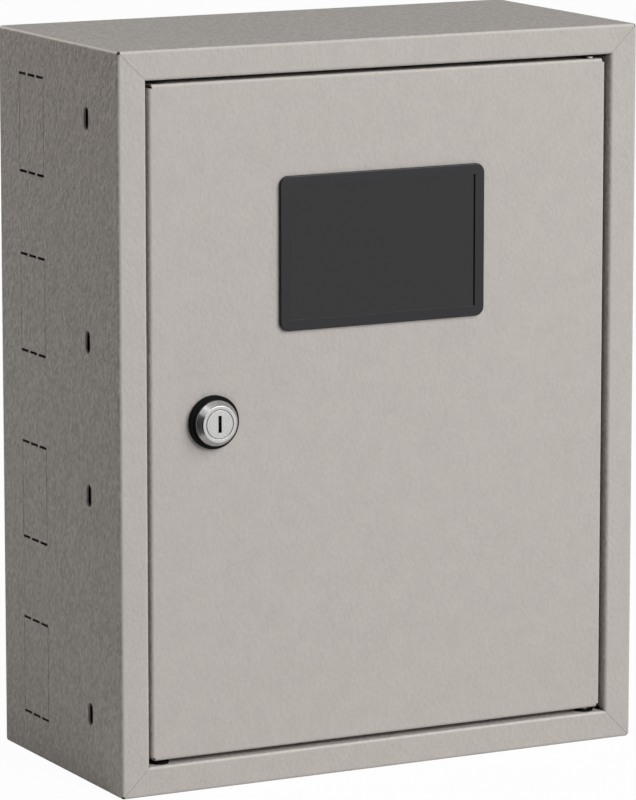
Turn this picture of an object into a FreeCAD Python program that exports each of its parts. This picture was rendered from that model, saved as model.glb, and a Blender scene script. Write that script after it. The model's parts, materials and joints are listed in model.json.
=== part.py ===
import FreeCAD, Part
import Sketcher
import enum
import os

# Electric meter box: a wall box folded from sheet steel, with an inset door on two hinge pins, a dark
# window, a quarter-turn cam lock, and the plate, rail and terminal bars that it carries inside.
# The origin is the middle of the back face. X runs to the right, Y to the back and Z up, in millimetres.

# Driving sizes, one cell each
SIZES = {
    # Case
    "case_width": 310,
    "case_height": 395,
    "case_depth": 150,
    "sheet_gauge": 1.2,
    "bend_inside": 0.6,
    "frame_side": 16.2,
    "frame_end": 15.9,
    "lip_depth": 16,
    "lip_corner_gap": 1.6,
    "lip_corner_setback": 5,
    "mitre_width": 0.12,
    "mitre_depth": 0.12,
    "relief_bore": 2,
    # Slots and knock-outs in both sides
    "slot_width": 6,
    "slot_height": 12,
    "slot_setback": 38.9,
    "slot_rise": 41,
    "slot_step": 118.1,
    "knockout_width": 31.1,
    "knockout_height": 54,
    "knockout_setback": 107.9,
    "knockout_rise": 51.2,
    "knockout_step": 97.2,
    "slit_width": 1.5,
    "slit_bridge": 2.2,
    "score_width": 0.35,
    "score_depth": 0.4,
    # Wall holes
    "wall_bore": 7,
    "wall_spacing_x": 250,
    "wall_spacing_z": 300,
    # Hinge
    "hinge_inset": 9,
    "hinge_setback": 8,
    "pin_diameter": 5,
    "pin_fit": 0.05,
    "pin_head": 8.5,
    "pin_head_height": 1.5,
    "pin_play": 0.3,
    "pin_tail": 1.5,
    "bush_flange": 10.5,
    "bush_flange_height": 1.2,
    "bush_barrel": 8,
    "bush_barb": 0.3,
    "bush_tail": 2,
    "clip_clear": 0.05,
    "clip_gauge": 0.8,
    "clip_groove": 4,
    "clip_mouth": 2.6,
    # Door
    "door_gap": 2.3,
    "door_recess": 2,
    "door_flange": 13,
    "door_notch": 2,
    # Window
    "window_width": 122.4,
    "window_height": 82.4,
    "window_rise": 86.1,
    "window_corner": 5,
    "window_proud": 2,
    "window_fit": 0.2,
    "rim_width": 5.7,
    "rim_lip": 0.9,
    "rim_round": 0.6,
    "skirt_wall": 1.4,
    "skirt_depth": 4,
    "lug_length": 10,
    "lug_height": 0.8,
    "lug_spacing": 70,
    "seal_gauge": 0.5,
    "seal_inset": 0.6,
    "pane_gauge": 2,
    "pane_cover": 1.1,
    "pane_fit": 0.1,
    # Lock
    "lock_inset": 36.1,
    "lock_washer_diameter": 28.6,
    "lock_washer_height": 3,
    "head_diameter": 24.3,
    "head_face": 19.5,
    "head_rim": 1.4,
    "head_height": 6,
    "thread_diameter": 18,
    "thread_flats": 16,
    "thread_fit": 0.1,
    "plug_face": 15.2,
    "plug_face_depth": 2.2,
    "plug_diameter": 11.5,
    "plug_fit": 0.06,
    "plug_float": 0.1,
    "key_width": 1.9,
    "key_height": 9.1,
    "key_depth": 9,
    "tooth_washer_diameter": 25,
    "tooth_washer_gauge": 0.8,
    "lock_nut_across": 24,
    "lock_nut_height": 4.5,
    "cam_gauge": 2.5,
    "cam_reach": 46,
    "cam_width": 16,
    "cam_square": 8,
    "cam_lip_gap": 0.6,
    "cam_barrel_gap": 0.3,
    "cam_washer_diameter": 14,
    "cam_washer_gauge": 1.2,
    "cam_screw_thread": 5,
    "cam_screw_across": 8,
    "cam_screw_head": 3.5,
    "cam_screw_grip": 8,
    # Meter plate and its studs
    "panel_width": 216,
    "panel_height": 300,
    "panel_gauge": 1.5,
    "panel_standoff": 18,
    "panel_flange": 10,
    "stud_spacing_x": 170,
    "stud_spacing_z": 264,
    "stud_collar": 12,
    "stud_grip": 11,
    # Six millimetre hardware of the plate and the door
    "small_thread": 6,
    "small_bore": 6.5,
    "small_washer": 12.5,
    "small_washer_gauge": 1.6,
    "small_nut_across": 10,
    "small_nut_height": 5,
    # Top-hat rail
    "rail_width": 35,
    "rail_height": 7.5,
    "rail_gauge": 1,
    "rail_channel": 27,
    "rail_length": 190,
    "rail_screw_spacing": 150,
    "rail_screw_thread": 5,
    "rail_screw_head": 9,
    "rail_screw_head_height": 3,
    # Terminal bars
    "bar_length": 118,
    "bar_size": 9,
    "neutral_drop": 62,
    "earth_drop": 104,
    "foot_length": 16,
    "foot_height": 14,
    "foot_width": 12,
    "foot_spacing": 98,
    "terminal_run": 72,
    "terminal_thread": 4,
    "terminal_head": 6,
    "terminal_stand": 2.5,
    "terminal_slot": 1,
    "wire_bore": 4.5,
    "wire_setback": 3.2,
    "bar_screw_thread": 4,
    "bar_screw_head": 7,
    "bar_screw_head_height": 2.5,
    "screw_tail": 4,
    # Earth studs
    "earth_inset": 24,
    "earth_stud_rise": 85.5,
    "earth_thread": 8,
    "earth_length": 24,
    "earth_washer": 16,
    "earth_washer_gauge": 1.6,
    "earth_nut_across": 13,
    "earth_nut_height": 6.5,
    "door_stud_length": 14,
    "door_stud_inset": 40,
    "door_stud_rise": 29.1,
}

SLITS_PER_EDGE = 3

# Places and sizes that follow from the driving sizes
PLACES = {
    "bend_outside": "=Size.bend_inside + Size.sheet_gauge",
    "case_x": "=Size.case_width / 2",
    "case_z": "=Size.case_height / 2",
    "front": "=-Size.case_depth",
    "open_x": "=Size.case_width / 2 - Size.frame_side",
    "open_z": "=Size.case_height / 2 - Size.frame_end",
    "lip_back": "=Size.lip_depth - Size.case_depth",
    "hinge_x": "=open_x - Size.hinge_inset",
    "hinge_y": "=Size.hinge_setback - Size.case_depth",
    "clip_radius": "=Size.hinge_setback - Size.door_recess - bend_outside - Size.clip_clear",
    "slot_y": "=Size.slot_setback - Size.case_depth",
    "knockout_y": "=Size.knockout_setback - Size.case_depth",
    "slit_length": (
        f"=(Size.knockout_width - {SLITS_PER_EDGE - 1} * Size.slit_bridge) / {SLITS_PER_EDGE}"
    ),
    "door_x": "=open_x - Size.door_gap",
    "door_z": "=open_z - Size.door_gap",
    "lock_x": "=Size.lock_inset - door_x",
    "door_face": "=Size.door_recess - Size.case_depth",
    "door_inside": "=door_face + Size.sheet_gauge",
    "sight_x": "=Size.window_width / 2 - Size.rim_width",
    "sight_z": "=Size.window_height / 2 - Size.rim_width",
    "pane_x": "=sight_x + Size.pane_cover",
    "pane_z": "=sight_z + Size.pane_cover",
    "skirt_in_x": "=pane_x + Size.pane_fit",
    "skirt_in_z": "=pane_z + Size.pane_fit",
    "skirt_x": "=skirt_in_x + Size.skirt_wall",
    "skirt_z": "=skirt_in_z + Size.skirt_wall",
    "cutout_x": "=skirt_x + Size.window_fit",
    "cutout_z": "=skirt_z + Size.window_fit",
    "skirt_back": "=Size.window_proud + Size.sheet_gauge + Size.skirt_depth",
    "cam_front": "=lip_back + Size.cam_lip_gap",
    "barrel_back": "=cam_front - Size.cam_barrel_gap",
    "lock_face": "=door_face - Size.lock_washer_height - Size.head_height",
    "lock_depth": "=barrel_back - lock_face",
    "wall_face": "=-Size.sheet_gauge",
    "panel_back": "=wall_face - Size.panel_standoff",
    "panel_face": "=panel_back - Size.panel_gauge",
    "bar_back": "=panel_face - Size.foot_height",
    "bar_face": "=bar_back - Size.bar_size",
    "earth_x": "=Size.case_width / 2 - Size.earth_inset",
}

TERMINALS = 7
TURN = 360
NEAR = 1e-4
# Turns of a piece that is modelled upright: as it is, upside down, or pointing to the front or the back
UPRIGHT = FreeCAD.Rotation()
INVERTED = FreeCAD.Rotation(FreeCAD.Vector(1, 0, 0), 180)
FORWARD = FreeCAD.Rotation(FreeCAD.Vector(1, 0, 0), 90)
BACKWARD = FreeCAD.Rotation(FreeCAD.Vector(1, 0, 0), -90)


class Point(enum.IntEnum):
    """Points of a drawn line or arc."""

    START = 1
    END = 2
    CENTRE = 3


class Fixed(enum.IntEnum):
    """Geometry that every sketch starts with; its origin is the start of its level axis."""

    LEVEL_AXIS = -1
    UPRIGHT_AXIS = -2


DOC = FreeCAD.newDocument("MeterBox")
PARTS = []


def fill_sheet(name, cells):
    """Writes named cells, one row each, and returns the sheet."""
    sheet = DOC.addObject("Spreadsheet::Sheet", name)
    for row, (alias, content) in enumerate(cells.items(), 1):
        sheet.set(f"A{row}", alias)
        sheet.set(f"B{row}", str(content))
        sheet.setAlias(f"B{row}", alias)
    DOC.recompute()
    return sheet


SHEET = fill_sheet("Size", SIZES)
fill_sheet("Place", PLACES)


def value(expression):
    """Returns the number that an expression has now."""
    return float(SHEET.evalExpression(expression))


def new_body(label):
    """Starts a sub-part; its label names its file."""
    body = DOC.addObject("PartDesign::Body", label)
    body.Label = label
    PARTS.append(body)
    return body


def origin_item(body, role):
    """Returns an origin plane or axis of a body by its role."""
    return next(item for item in body.Origin.OriginFeatures if item.Role == role)


def place(part, x, y, z, turn=UPRIGHT):
    """Ties a sub-part's place to three expressions; a plain 0 stays on the middle plane."""
    part.Placement = FreeCAD.Placement(FreeCAD.Vector(value(x), value(y), value(z)), turn)
    for axis, expression in zip("xyz", (x, y, z)):
        if expression != "0":
            part.setExpression(f"Placement.Base.{axis}", expression)


def sketch_on(body, name, role, offset=None):
    """Puts a sketch on an origin plane, or at an offset along that plane's normal."""
    sketch = body.newObject("Sketcher::SketchObject", name)
    sketch.AttachmentSupport = [(origin_item(body, role), "")]
    sketch.MapMode = "FlatFace"
    if offset:
        sketch.setExpression("AttachmentOffset.Base.z", offset)
    return sketch


def tie(sketch, constraint, expression):
    """Adds a dimension to a sketch and binds it."""
    index = sketch.addConstraint(constraint)
    sketch.setExpression(f"Constraints[{index}]", expression)


def hold(sketch, geometry, point, x, y):
    """Ties one point of a sketch to two expressions; a plain 0 puts it on the axis."""
    ways = (("DistanceX", Fixed.UPRIGHT_AXIS, x), ("DistanceY", Fixed.LEVEL_AXIS, y))
    for kind, axis, expression in ways:
        if expression == "0":
            sketch.addConstraint(Sketcher.Constraint("PointOnObject", geometry, point, axis))
        else:
            origin = (Fixed.LEVEL_AXIS, Point.START)
            distance = Sketcher.Constraint(kind, *origin, geometry, point, value(expression))
            tie(sketch, distance, expression)


def polygon(sketch, corners):
    """Draws a closed outline of straight sides through corners given as expressions."""
    first = sketch.GeometryCount
    points = [FreeCAD.Vector(value(x), value(y)) for x, y in corners]
    following = points[1:] + points[:1]
    sketch.addGeometry([Part.LineSegment(a, b) for a, b in zip(points, following)], False)
    for i, (x, y) in enumerate(corners):
        after = first + (i + 1) % len(corners)
        sketch.addConstraint(Sketcher.Constraint("Coincident", first + i, Point.END, after, Point.START))
        hold(sketch, first + i, Point.START, x, y)


def rectangle(sketch, left, right, bottom, top):
    """Draws a rectangle between four expressions."""
    polygon(sketch, [(left, bottom), (right, bottom), (right, top), (left, top)])


def centred_rectangle(sketch, half_x, half_z):
    """Draws a rectangle about the sketch's origin."""
    rectangle(sketch, f"-{half_x}", half_x, f"-{half_z}", half_z)


def circle(sketch, x, y, diameter):
    """Draws a circle."""
    middle = FreeCAD.Vector(value(x), value(y))
    ring = Part.Circle(middle, FreeCAD.Vector(0, 0, 1), value(diameter) / 2)
    index = sketch.addGeometry(ring, False)
    hold(sketch, index, Point.CENTRE, x, y)
    tie(sketch, Sketcher.Constraint("Diameter", index, value(diameter)), diameter)


def obround(sketch, x, y, width, height):
    """Draws an upright slot with round ends about a middle point."""
    middle_x, middle_y = value(x), value(y)
    radius = value(width) / 2
    reach = value(height) / 2 - radius
    upper = FreeCAD.Vector(middle_x, middle_y + reach)
    lower = FreeCAD.Vector(middle_x, middle_y - reach)
    side = FreeCAD.Vector(radius, 0)
    tip = FreeCAD.Vector(0, radius)
    first = sketch.GeometryCount
    outline = [
        Part.Arc(upper + side, upper + tip, upper - side),
        Part.LineSegment(upper - side, lower - side),
        Part.Arc(lower - side, lower - tip, lower + side),
        Part.LineSegment(lower + side, upper + side),
    ]
    sketch.addGeometry(outline, False)
    for i in range(len(outline)):
        after = first + (i + 1) % len(outline)
        sketch.addConstraint(Sketcher.Constraint("Tangent", first + i, Point.END, after, Point.START))
    sketch.addConstraint(Sketcher.Constraint("Equal", first, first + 2))
    tie(sketch, Sketcher.Constraint("Radius", first, radius), f"{width} / 2")
    hold(sketch, first, Point.CENTRE, x, f"{y} + {height} / 2 - {width} / 2")
    hold(sketch, first + 2, Point.CENTRE, x, f"{y} - {height} / 2 + {width} / 2")


def double_flat(sketch, x, y, diameter, flats):
    """Draws a circle cut by two level flats."""
    middle = FreeCAD.Vector(value(x), value(y))
    radius = value(diameter) / 2
    rise = value(flats) / 2
    reach = (radius**2 - rise**2) ** 0.5
    corner = FreeCAD.Vector(reach, rise)
    other = FreeCAD.Vector(-reach, rise)
    side = FreeCAD.Vector(radius, 0)
    first = sketch.GeometryCount
    outline = [
        Part.Arc(middle - other, middle + side, middle + corner),
        Part.LineSegment(middle + corner, middle + other),
        Part.Arc(middle + other, middle - side, middle - corner),
        Part.LineSegment(middle - corner, middle - other),
    ]
    sketch.addGeometry(outline, False)
    for i in range(len(outline)):
        after = first + (i + 1) % len(outline)
        sketch.addConstraint(Sketcher.Constraint("Coincident", first + i, Point.END, after, Point.START))
    for arc in (first, first + 2):
        hold(sketch, arc, Point.CENTRE, x, y)
        tie(sketch, Sketcher.Constraint("Radius", arc, radius), f"({diameter}) / 2")
    for line, level in ((first + 1, f"{y} + ({flats}) / 2"), (first + 3, f"{y} - ({flats}) / 2")):
        sketch.addConstraint(Sketcher.Constraint("Horizontal", line))
        origin = (Fixed.LEVEL_AXIS, Point.START)
        height = Sketcher.Constraint("DistanceY", *origin, line, Point.START, value(level))
        tie(sketch, height, level)


def hexagon(sketch, across):
    """Draws a hexagon about the sketch's origin, given its size across flats."""
    corner = f"{across} / sqrt(3)"
    half = f"{across} / 2"
    short = f"{across} / (2 * sqrt(3))"
    upper = [(corner, "0"), (short, half), (f"-{short}", half)]
    lower = [(f"-{corner}", "0"), (f"-{short}", f"-{half}"), (short, f"-{half}")]
    polygon(sketch, upper + lower)


def extrude(body, kind, sketch, length, backward=False):
    """Pads or pockets a sketch over a length."""
    feature = body.newObject(f"PartDesign::{kind}", f"{sketch.Name}_{kind.lower()}")
    feature.Profile = sketch
    feature.Reversed = backward
    feature.setExpression("Length", length)
    DOC.recompute()
    return feature


def cut_through(body, sketch):
    """Pockets a sketch right through the body, both ways."""
    feature = body.newObject("PartDesign::Pocket", f"{sketch.Name}_pocket")
    feature.Profile = sketch
    feature.Type = "ThroughAll"
    feature.SideType = "Symmetric"
    DOC.recompute()
    return feature


def turn_profile(body, corners):
    """Turns an outline of (radius, height) corners about the body's upright axis."""
    sketch = sketch_on(body, f"{body.Name}_profile", "XZ_Plane")
    polygon(sketch, corners)
    feature = body.newObject("PartDesign::Revolution", f"{body.Name}_turned")
    feature.Profile = sketch
    feature.ReferenceAxis = (sketch, ["V_Axis"])
    feature.Angle = TURN
    DOC.recompute()
    return feature


def round_edges(body, base, names, radius):
    """Rounds the named edges of a feature."""
    feature = body.newObject("PartDesign::Fillet", f"{base.Name}_round")
    feature.Base = (base, names)
    feature.setExpression("Radius", radius)
    DOC.recompute()
    return feature


def mirror(body, role):
    """A mirror step about an origin plane, for spread."""
    step = body.newObject("PartDesign::Mirrored", f"{body.Name}_mirror")
    step.MirrorPlane = (origin_item(body, role), [""])
    return step


def row(body, role, extent, count):
    """A row step along an origin axis, for spread."""
    step = body.newObject("PartDesign::LinearPattern", f"{body.Name}_row")
    step.Direction = (origin_item(body, role), [""])
    step.setExpression("Length", extent)
    step.Occurrences = count
    return step


def spread(body, originals, steps):
    """Repeats features through the given mirror and row steps."""
    feature = body.newObject("PartDesign::MultiTransform", f"{originals[-1].Name}_spread")
    feature.Originals = originals
    feature.Transformations = steps
    body.Tip = feature
    DOC.recompute()
    return feature


def repeat_whole(body, *steps):
    """Repeats the whole piece as separate solids in rows of (axis, extent, count)."""
    for role, extent, count in steps:
        feature = row(body, role, extent, count)
        feature.TransformMode = "Whole shape"
        body.Tip = feature
        DOC.recompute()


def loop_edges(shape, y, half_x, half_z):
    """Names the straight edges of a centred rectangle in the plane at depth y."""
    names = []
    for number, edge in enumerate(shape.Edges, 1):
        box = edge.BoundBox
        level = abs(box.YMin - y) < NEAR and abs(box.YMax - y) < NEAR
        on_side = box.XLength < NEAR and abs(abs(box.Center.x) - half_x) < NEAR
        on_end = box.ZLength < NEAR and abs(abs(box.Center.z) - half_z) < NEAR
        if level and (on_side or on_end):
            names.append(f"Edge{number}")
    return names


def corner_edges(shape, half_x, half_z):
    """Names the edges along Y at the corners of a centred rectangle."""
    names = []
    for number, edge in enumerate(shape.Edges, 1):
        box = edge.BoundBox
        straight = box.XLength < NEAR and box.ZLength < NEAR
        at_x = abs(abs(box.Center.x) - half_x) < NEAR
        at_z = abs(abs(box.Center.z) - half_z) < NEAR
        if straight and at_x and at_z:
            names.append(f"Edge{number}")
    return names


def build_enclosure():
    """Case: folded shell with a mitred front frame, a returned lip and pierced sides."""
    body = new_body("enclosure_body")

    # Shell with every outer and inner bend
    outline = sketch_on(body, "case_outline", "XZ_Plane")
    centred_rectangle(outline, "Place.case_x", "Place.case_z")
    block = extrude(body, "Pad", outline, "Size.case_depth")
    every_edge = [f"Edge{number}" for number in range(1, len(block.Shape.Edges) + 1)]
    round_edges(body, block, every_edge, "Place.bend_outside")
    inside = sketch_on(body, "case_inside", "XZ_Plane", "Size.sheet_gauge")
    centred_rectangle(inside, "(Place.case_x - Size.sheet_gauge)", "(Place.case_z - Size.sheet_gauge)")
    hollow = extrude(body, "Pocket", inside, "Size.case_depth - 2 * Size.sheet_gauge", backward=True)
    void = min(hollow.Shape.Shells, key=lambda shell: shell.BoundBox.DiagonalLength)
    inner_edges = [
        f"Edge{number}"
        for number, edge in enumerate(hollow.Shape.Edges, 1)
        if any(edge.isSame(other) for other in void.Edges)
    ]
    round_edges(body, hollow, inner_edges, "Size.bend_inside")

    # Front opening and the lip that is folded back round it
    opening = sketch_on(body, "front_opening", "XZ_Plane", "Size.case_depth")
    centred_rectangle(opening, "Place.open_x", "Place.open_z")
    extrude(body, "Pocket", opening, "2 * Size.sheet_gauge")
    ring = sketch_on(body, "lip_ring", "XZ_Plane", "Size.case_depth")
    centred_rectangle(ring, "Place.open_x", "Place.open_z")
    centred_rectangle(ring, "(Place.open_x + Size.sheet_gauge)", "(Place.open_z + Size.sheet_gauge)")
    lip = extrude(body, "Pad", ring, "Size.lip_depth", backward=True)
    front = value("Place.front")
    gauge = value("Size.sheet_gauge")
    open_x, open_z = value("Place.open_x"), value("Place.open_z")
    behind = loop_edges(lip.Shape, front + gauge, open_x + gauge, open_z + gauge)
    inner_bend = round_edges(body, lip, behind, "Size.bend_inside")
    ahead = loop_edges(inner_bend.Shape, front, open_x, open_z)
    round_edges(body, inner_bend, ahead, "Place.bend_outside")

    four_ways = ("YZ_Plane", "XY_Plane")
    gaps = sketch_on(body, "lip_corners", "XZ_Plane", "Size.case_depth - Size.lip_depth")
    rectangle(
        gaps,
        "Place.open_x - Size.lip_corner_gap",
        "Place.open_x + 2 * Size.sheet_gauge",
        "Place.open_z - Size.lip_corner_gap",
        "Place.open_z + 2 * Size.sheet_gauge",
    )
    gap = extrude(body, "Pocket", gaps, "Size.lip_depth - Size.lip_corner_setback", backward=True)
    spread(body, [gap], [mirror(body, role) for role in four_ways])

    # Mitre seams of the front frame, and the small relief left at each outer corner
    seam = sketch_on(body, "mitre_seam", "XZ_Plane", "Size.case_depth")
    polygon(
        seam,
        [
            ("Place.open_x + Size.mitre_width", "Place.open_z"),
            ("Place.case_x", "Place.case_z - Size.mitre_width"),
            ("Place.case_x - Size.mitre_width", "Place.case_z"),
            ("Place.open_x", "Place.open_z + Size.mitre_width"),
        ],
    )
    groove = extrude(body, "Pocket", seam, "Size.mitre_depth")
    spread(body, [groove], [mirror(body, role) for role in four_ways])
    relief = sketch_on(body, "corner_relief", "XY_Plane")
    outward = FreeCAD.Rotation(FreeCAD.Vector(0, 0, 1), FreeCAD.Vector(1, -1, 1))
    relief.AttachmentOffset = FreeCAD.Placement(FreeCAD.Vector(), outward)
    for axis, expression in zip("xyz", ("Place.case_x", "Place.front", "Place.case_z")):
        relief.setExpression(f"AttachmentOffset.Base.{axis}", expression)
    circle(relief, "0", "0", "Size.relief_bore")
    drilled = extrude(body, "Pocket", relief, "2 * Place.bend_outside")
    spread(body, [drilled], [mirror(body, role) for role in four_ways])

    # Slots and knock-outs, cut through both sides at once
    slot = sketch_on(body, "side_slot", "YZ_Plane")
    obround(slot, "Place.slot_y", "Size.slot_rise", "Size.slot_width", "Size.slot_height")
    slots = cut_through(body, slot)
    spread(body, [slots], [row(body, "Z_Axis", "Size.slot_step", 2), mirror(body, "XY_Plane")])
    slits = sketch_on(body, "knockout_slits", "YZ_Plane")
    for number in range(SLITS_PER_EDGE):
        start = (
            "Place.knockout_y - Size.knockout_width / 2"
            f" + {number} * (Place.slit_length + Size.slit_bridge)"
        )
        for way in ("-", "+"):
            edge = f"Size.knockout_rise {way} (Size.knockout_height - Size.slit_width) / 2"
            rectangle(
                slits,
                start,
                f"{start} + Place.slit_length",
                f"{edge} - Size.slit_width / 2",
                f"{edge} + Size.slit_width / 2",
            )
    slit = cut_through(body, slits)
    spread(body, [slit], [row(body, "Z_Axis", "Size.knockout_step", 2), mirror(body, "XY_Plane")])
    scores = sketch_on(body, "knockout_scores", "YZ_Plane", "Place.case_x")
    for way in ("-", "+"):
        edge = f"Place.knockout_y {way} (Size.knockout_width - Size.score_width) / 2"
        rectangle(
            scores,
            f"{edge} - Size.score_width / 2",
            f"{edge} + Size.score_width / 2",
            "Size.knockout_rise + Size.slit_width - Size.knockout_height / 2",
            "Size.knockout_rise - Size.slit_width + Size.knockout_height / 2",
        )
    score = extrude(body, "Pocket", scores, "Size.score_depth")
    both_sides = [mirror(body, role) for role in four_ways]
    spread(body, [score], [row(body, "Z_Axis", "Size.knockout_step", 2)] + both_sides)

    # Wall holes in the back, and hinge holes in both ends of the lip for a door hung either way
    wall = sketch_on(body, "wall_holes", "XZ_Plane")
    circle(wall, "Size.wall_spacing_x / 2", "Size.wall_spacing_z / 2", "Size.wall_bore")
    hole = extrude(body, "Pocket", wall, "2 * Size.sheet_gauge", backward=True)
    spread(body, [hole], [mirror(body, role) for role in four_ways])
    hinge = sketch_on(body, "hinge_holes", "XY_Plane", "Place.open_z - Size.sheet_gauge")
    circle(hinge, "Place.hinge_x", "Place.hinge_y", "Size.bush_barrel")
    bored = extrude(body, "Pocket", hinge, "3 * Size.sheet_gauge", backward=True)
    spread(body, [bored], [mirror(body, role) for role in four_ways])


def build_hinge():
    """Bushes and plugs in the lip, and the pins with the clips that hold them in the door."""
    barrel = "Size.bush_barrel / 2"
    flange = "Size.bush_flange / 2"
    below = "-Size.bush_flange_height"
    top = "Size.sheet_gauge + Size.bush_tail"
    skin = [
        (flange, below),
        (flange, "0"),
        (barrel, "0"),
        (barrel, "Size.sheet_gauge"),
        (f"{barrel} + Size.bush_barb", "Size.sheet_gauge"),
        (f"{barrel} - Size.bush_barb", top),
    ]
    bore = "Size.pin_diameter / 2 + Size.pin_fit"
    ends = (("upper", "Place.open_z", UPRIGHT), ("lower", "-Place.open_z", INVERTED))
    for end, height, turn in ends:
        bush = new_body(f"{end}_hinge_bush")
        turn_profile(bush, [(bore, below)] + skin + [(bore, top)])
        place(bush, "Place.hinge_x", "Place.hinge_y", height, turn)
    for end, height, turn in ends:
        plug = new_body(f"{end}_hole_plug")
        turn_profile(plug, [("0", below)] + skin + [("0", top)])
        place(plug, "-Place.hinge_x", "Place.hinge_y", height, turn)

    # Heights along a pin are measured from the lip face that the bush sits on
    shank = "Size.pin_diameter / 2"
    head = "Size.pin_head / 2"
    neck = "Size.clip_groove / 2"
    under_head = f"{top} + Size.pin_play"
    over_head = f"{under_head} + Size.pin_head_height"
    clip_top = "-Size.door_gap - Size.sheet_gauge"
    clip_bottom = f"{clip_top} - Size.clip_gauge"
    pin_end = f"{clip_bottom} - Size.pin_tail"
    pin_skin = [
        ("0", pin_end),
        (shank, pin_end),
        (shank, clip_bottom),
        (neck, clip_bottom),
        (neck, clip_top),
        (shank, clip_top),
        (shank, under_head),
        (head, under_head),
        (head, over_head),
        ("0", over_head),
    ]
    for end, height, turn in ends:
        pin = new_body(f"{end}_hinge_pin")
        turn_profile(pin, pin_skin)
        place(pin, "Place.hinge_x", "Place.hinge_y", height, turn)

    clips = new_body("hinge_pin_clips")
    washer = sketch_on(clips, "clip_outline", "XY_Plane", "Place.door_z - Size.sheet_gauge")
    circle(washer, "Place.hinge_x", "Place.hinge_y", "2 * Place.clip_radius")
    circle(washer, "Place.hinge_x", "Place.hinge_y", "Size.clip_groove")
    clip = extrude(clips, "Pad", washer, "Size.clip_gauge", backward=True)
    mouth = sketch_on(clips, "clip_mouth", "XY_Plane", "Place.door_z - Size.sheet_gauge")
    rectangle(
        mouth,
        "Place.hinge_x - 2 * Place.clip_radius",
        "Place.hinge_x",
        "Place.hinge_y - Size.clip_mouth / 2",
        "Place.hinge_y + Size.clip_mouth / 2",
    )
    slot = extrude(clips, "Pocket", mouth, "Size.clip_gauge")
    spread(clips, [clip, slot], [mirror(clips, "XY_Plane")])


def build_door():
    """Door: a shallow folded pan with open corners, a window, a lock hole and hinge holes."""
    body = new_body("door_panel")
    outline = sketch_on(body, "door_outline", "XZ_Plane", "Size.case_depth - Size.door_recess")
    centred_rectangle(outline, "Place.door_x", "Place.door_z")
    pan = extrude(body, "Pad", outline, "Size.door_flange", backward=True)
    face = value("Place.door_face")
    door_x, door_z = value("Place.door_x"), value("Place.door_z")
    round_edges(body, pan, loop_edges(pan.Shape, face, door_x, door_z), "Place.bend_outside")
    inside = sketch_on(
        body, "door_inside", "XZ_Plane", "Size.case_depth - Size.door_recess - Size.sheet_gauge"
    )
    centred_rectangle(inside, "(Place.door_x - Size.sheet_gauge)", "(Place.door_z - Size.sheet_gauge)")
    hollow = extrude(body, "Pocket", inside, "Size.door_flange")
    gauge = value("Size.sheet_gauge")
    folds = loop_edges(hollow.Shape, face + gauge, door_x - gauge, door_z - gauge)
    round_edges(body, hollow, folds, "Size.bend_inside")
    corner = sketch_on(body, "door_corner", "XZ_Plane")
    rectangle(
        corner,
        "Place.door_x - Size.door_notch",
        "Place.door_x + Size.door_notch",
        "Place.door_z - Size.door_notch",
        "Place.door_z + Size.door_notch",
    )
    notch = cut_through(body, corner)
    spread(body, [notch], [mirror(body, role) for role in ("YZ_Plane", "XY_Plane")])

    holes = sketch_on(body, "door_holes", "XZ_Plane")
    rectangle(
        holes,
        "-Place.cutout_x",
        "Place.cutout_x",
        "Size.window_rise - Place.cutout_z",
        "Size.window_rise + Place.cutout_z",
    )
    double_flat(
        holes,
        "Place.lock_x",
        "0",
        "Size.thread_diameter + 2 * Size.thread_fit",
        "Size.thread_flats + 2 * Size.thread_fit",
    )
    cut_through(body, holes)
    hinge = sketch_on(body, "door_hinge_holes", "XY_Plane")
    circle(hinge, "Place.hinge_x", "Place.hinge_y", "Size.pin_diameter + 2 * Size.pin_fit")
    cut_through(body, hinge)


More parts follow.
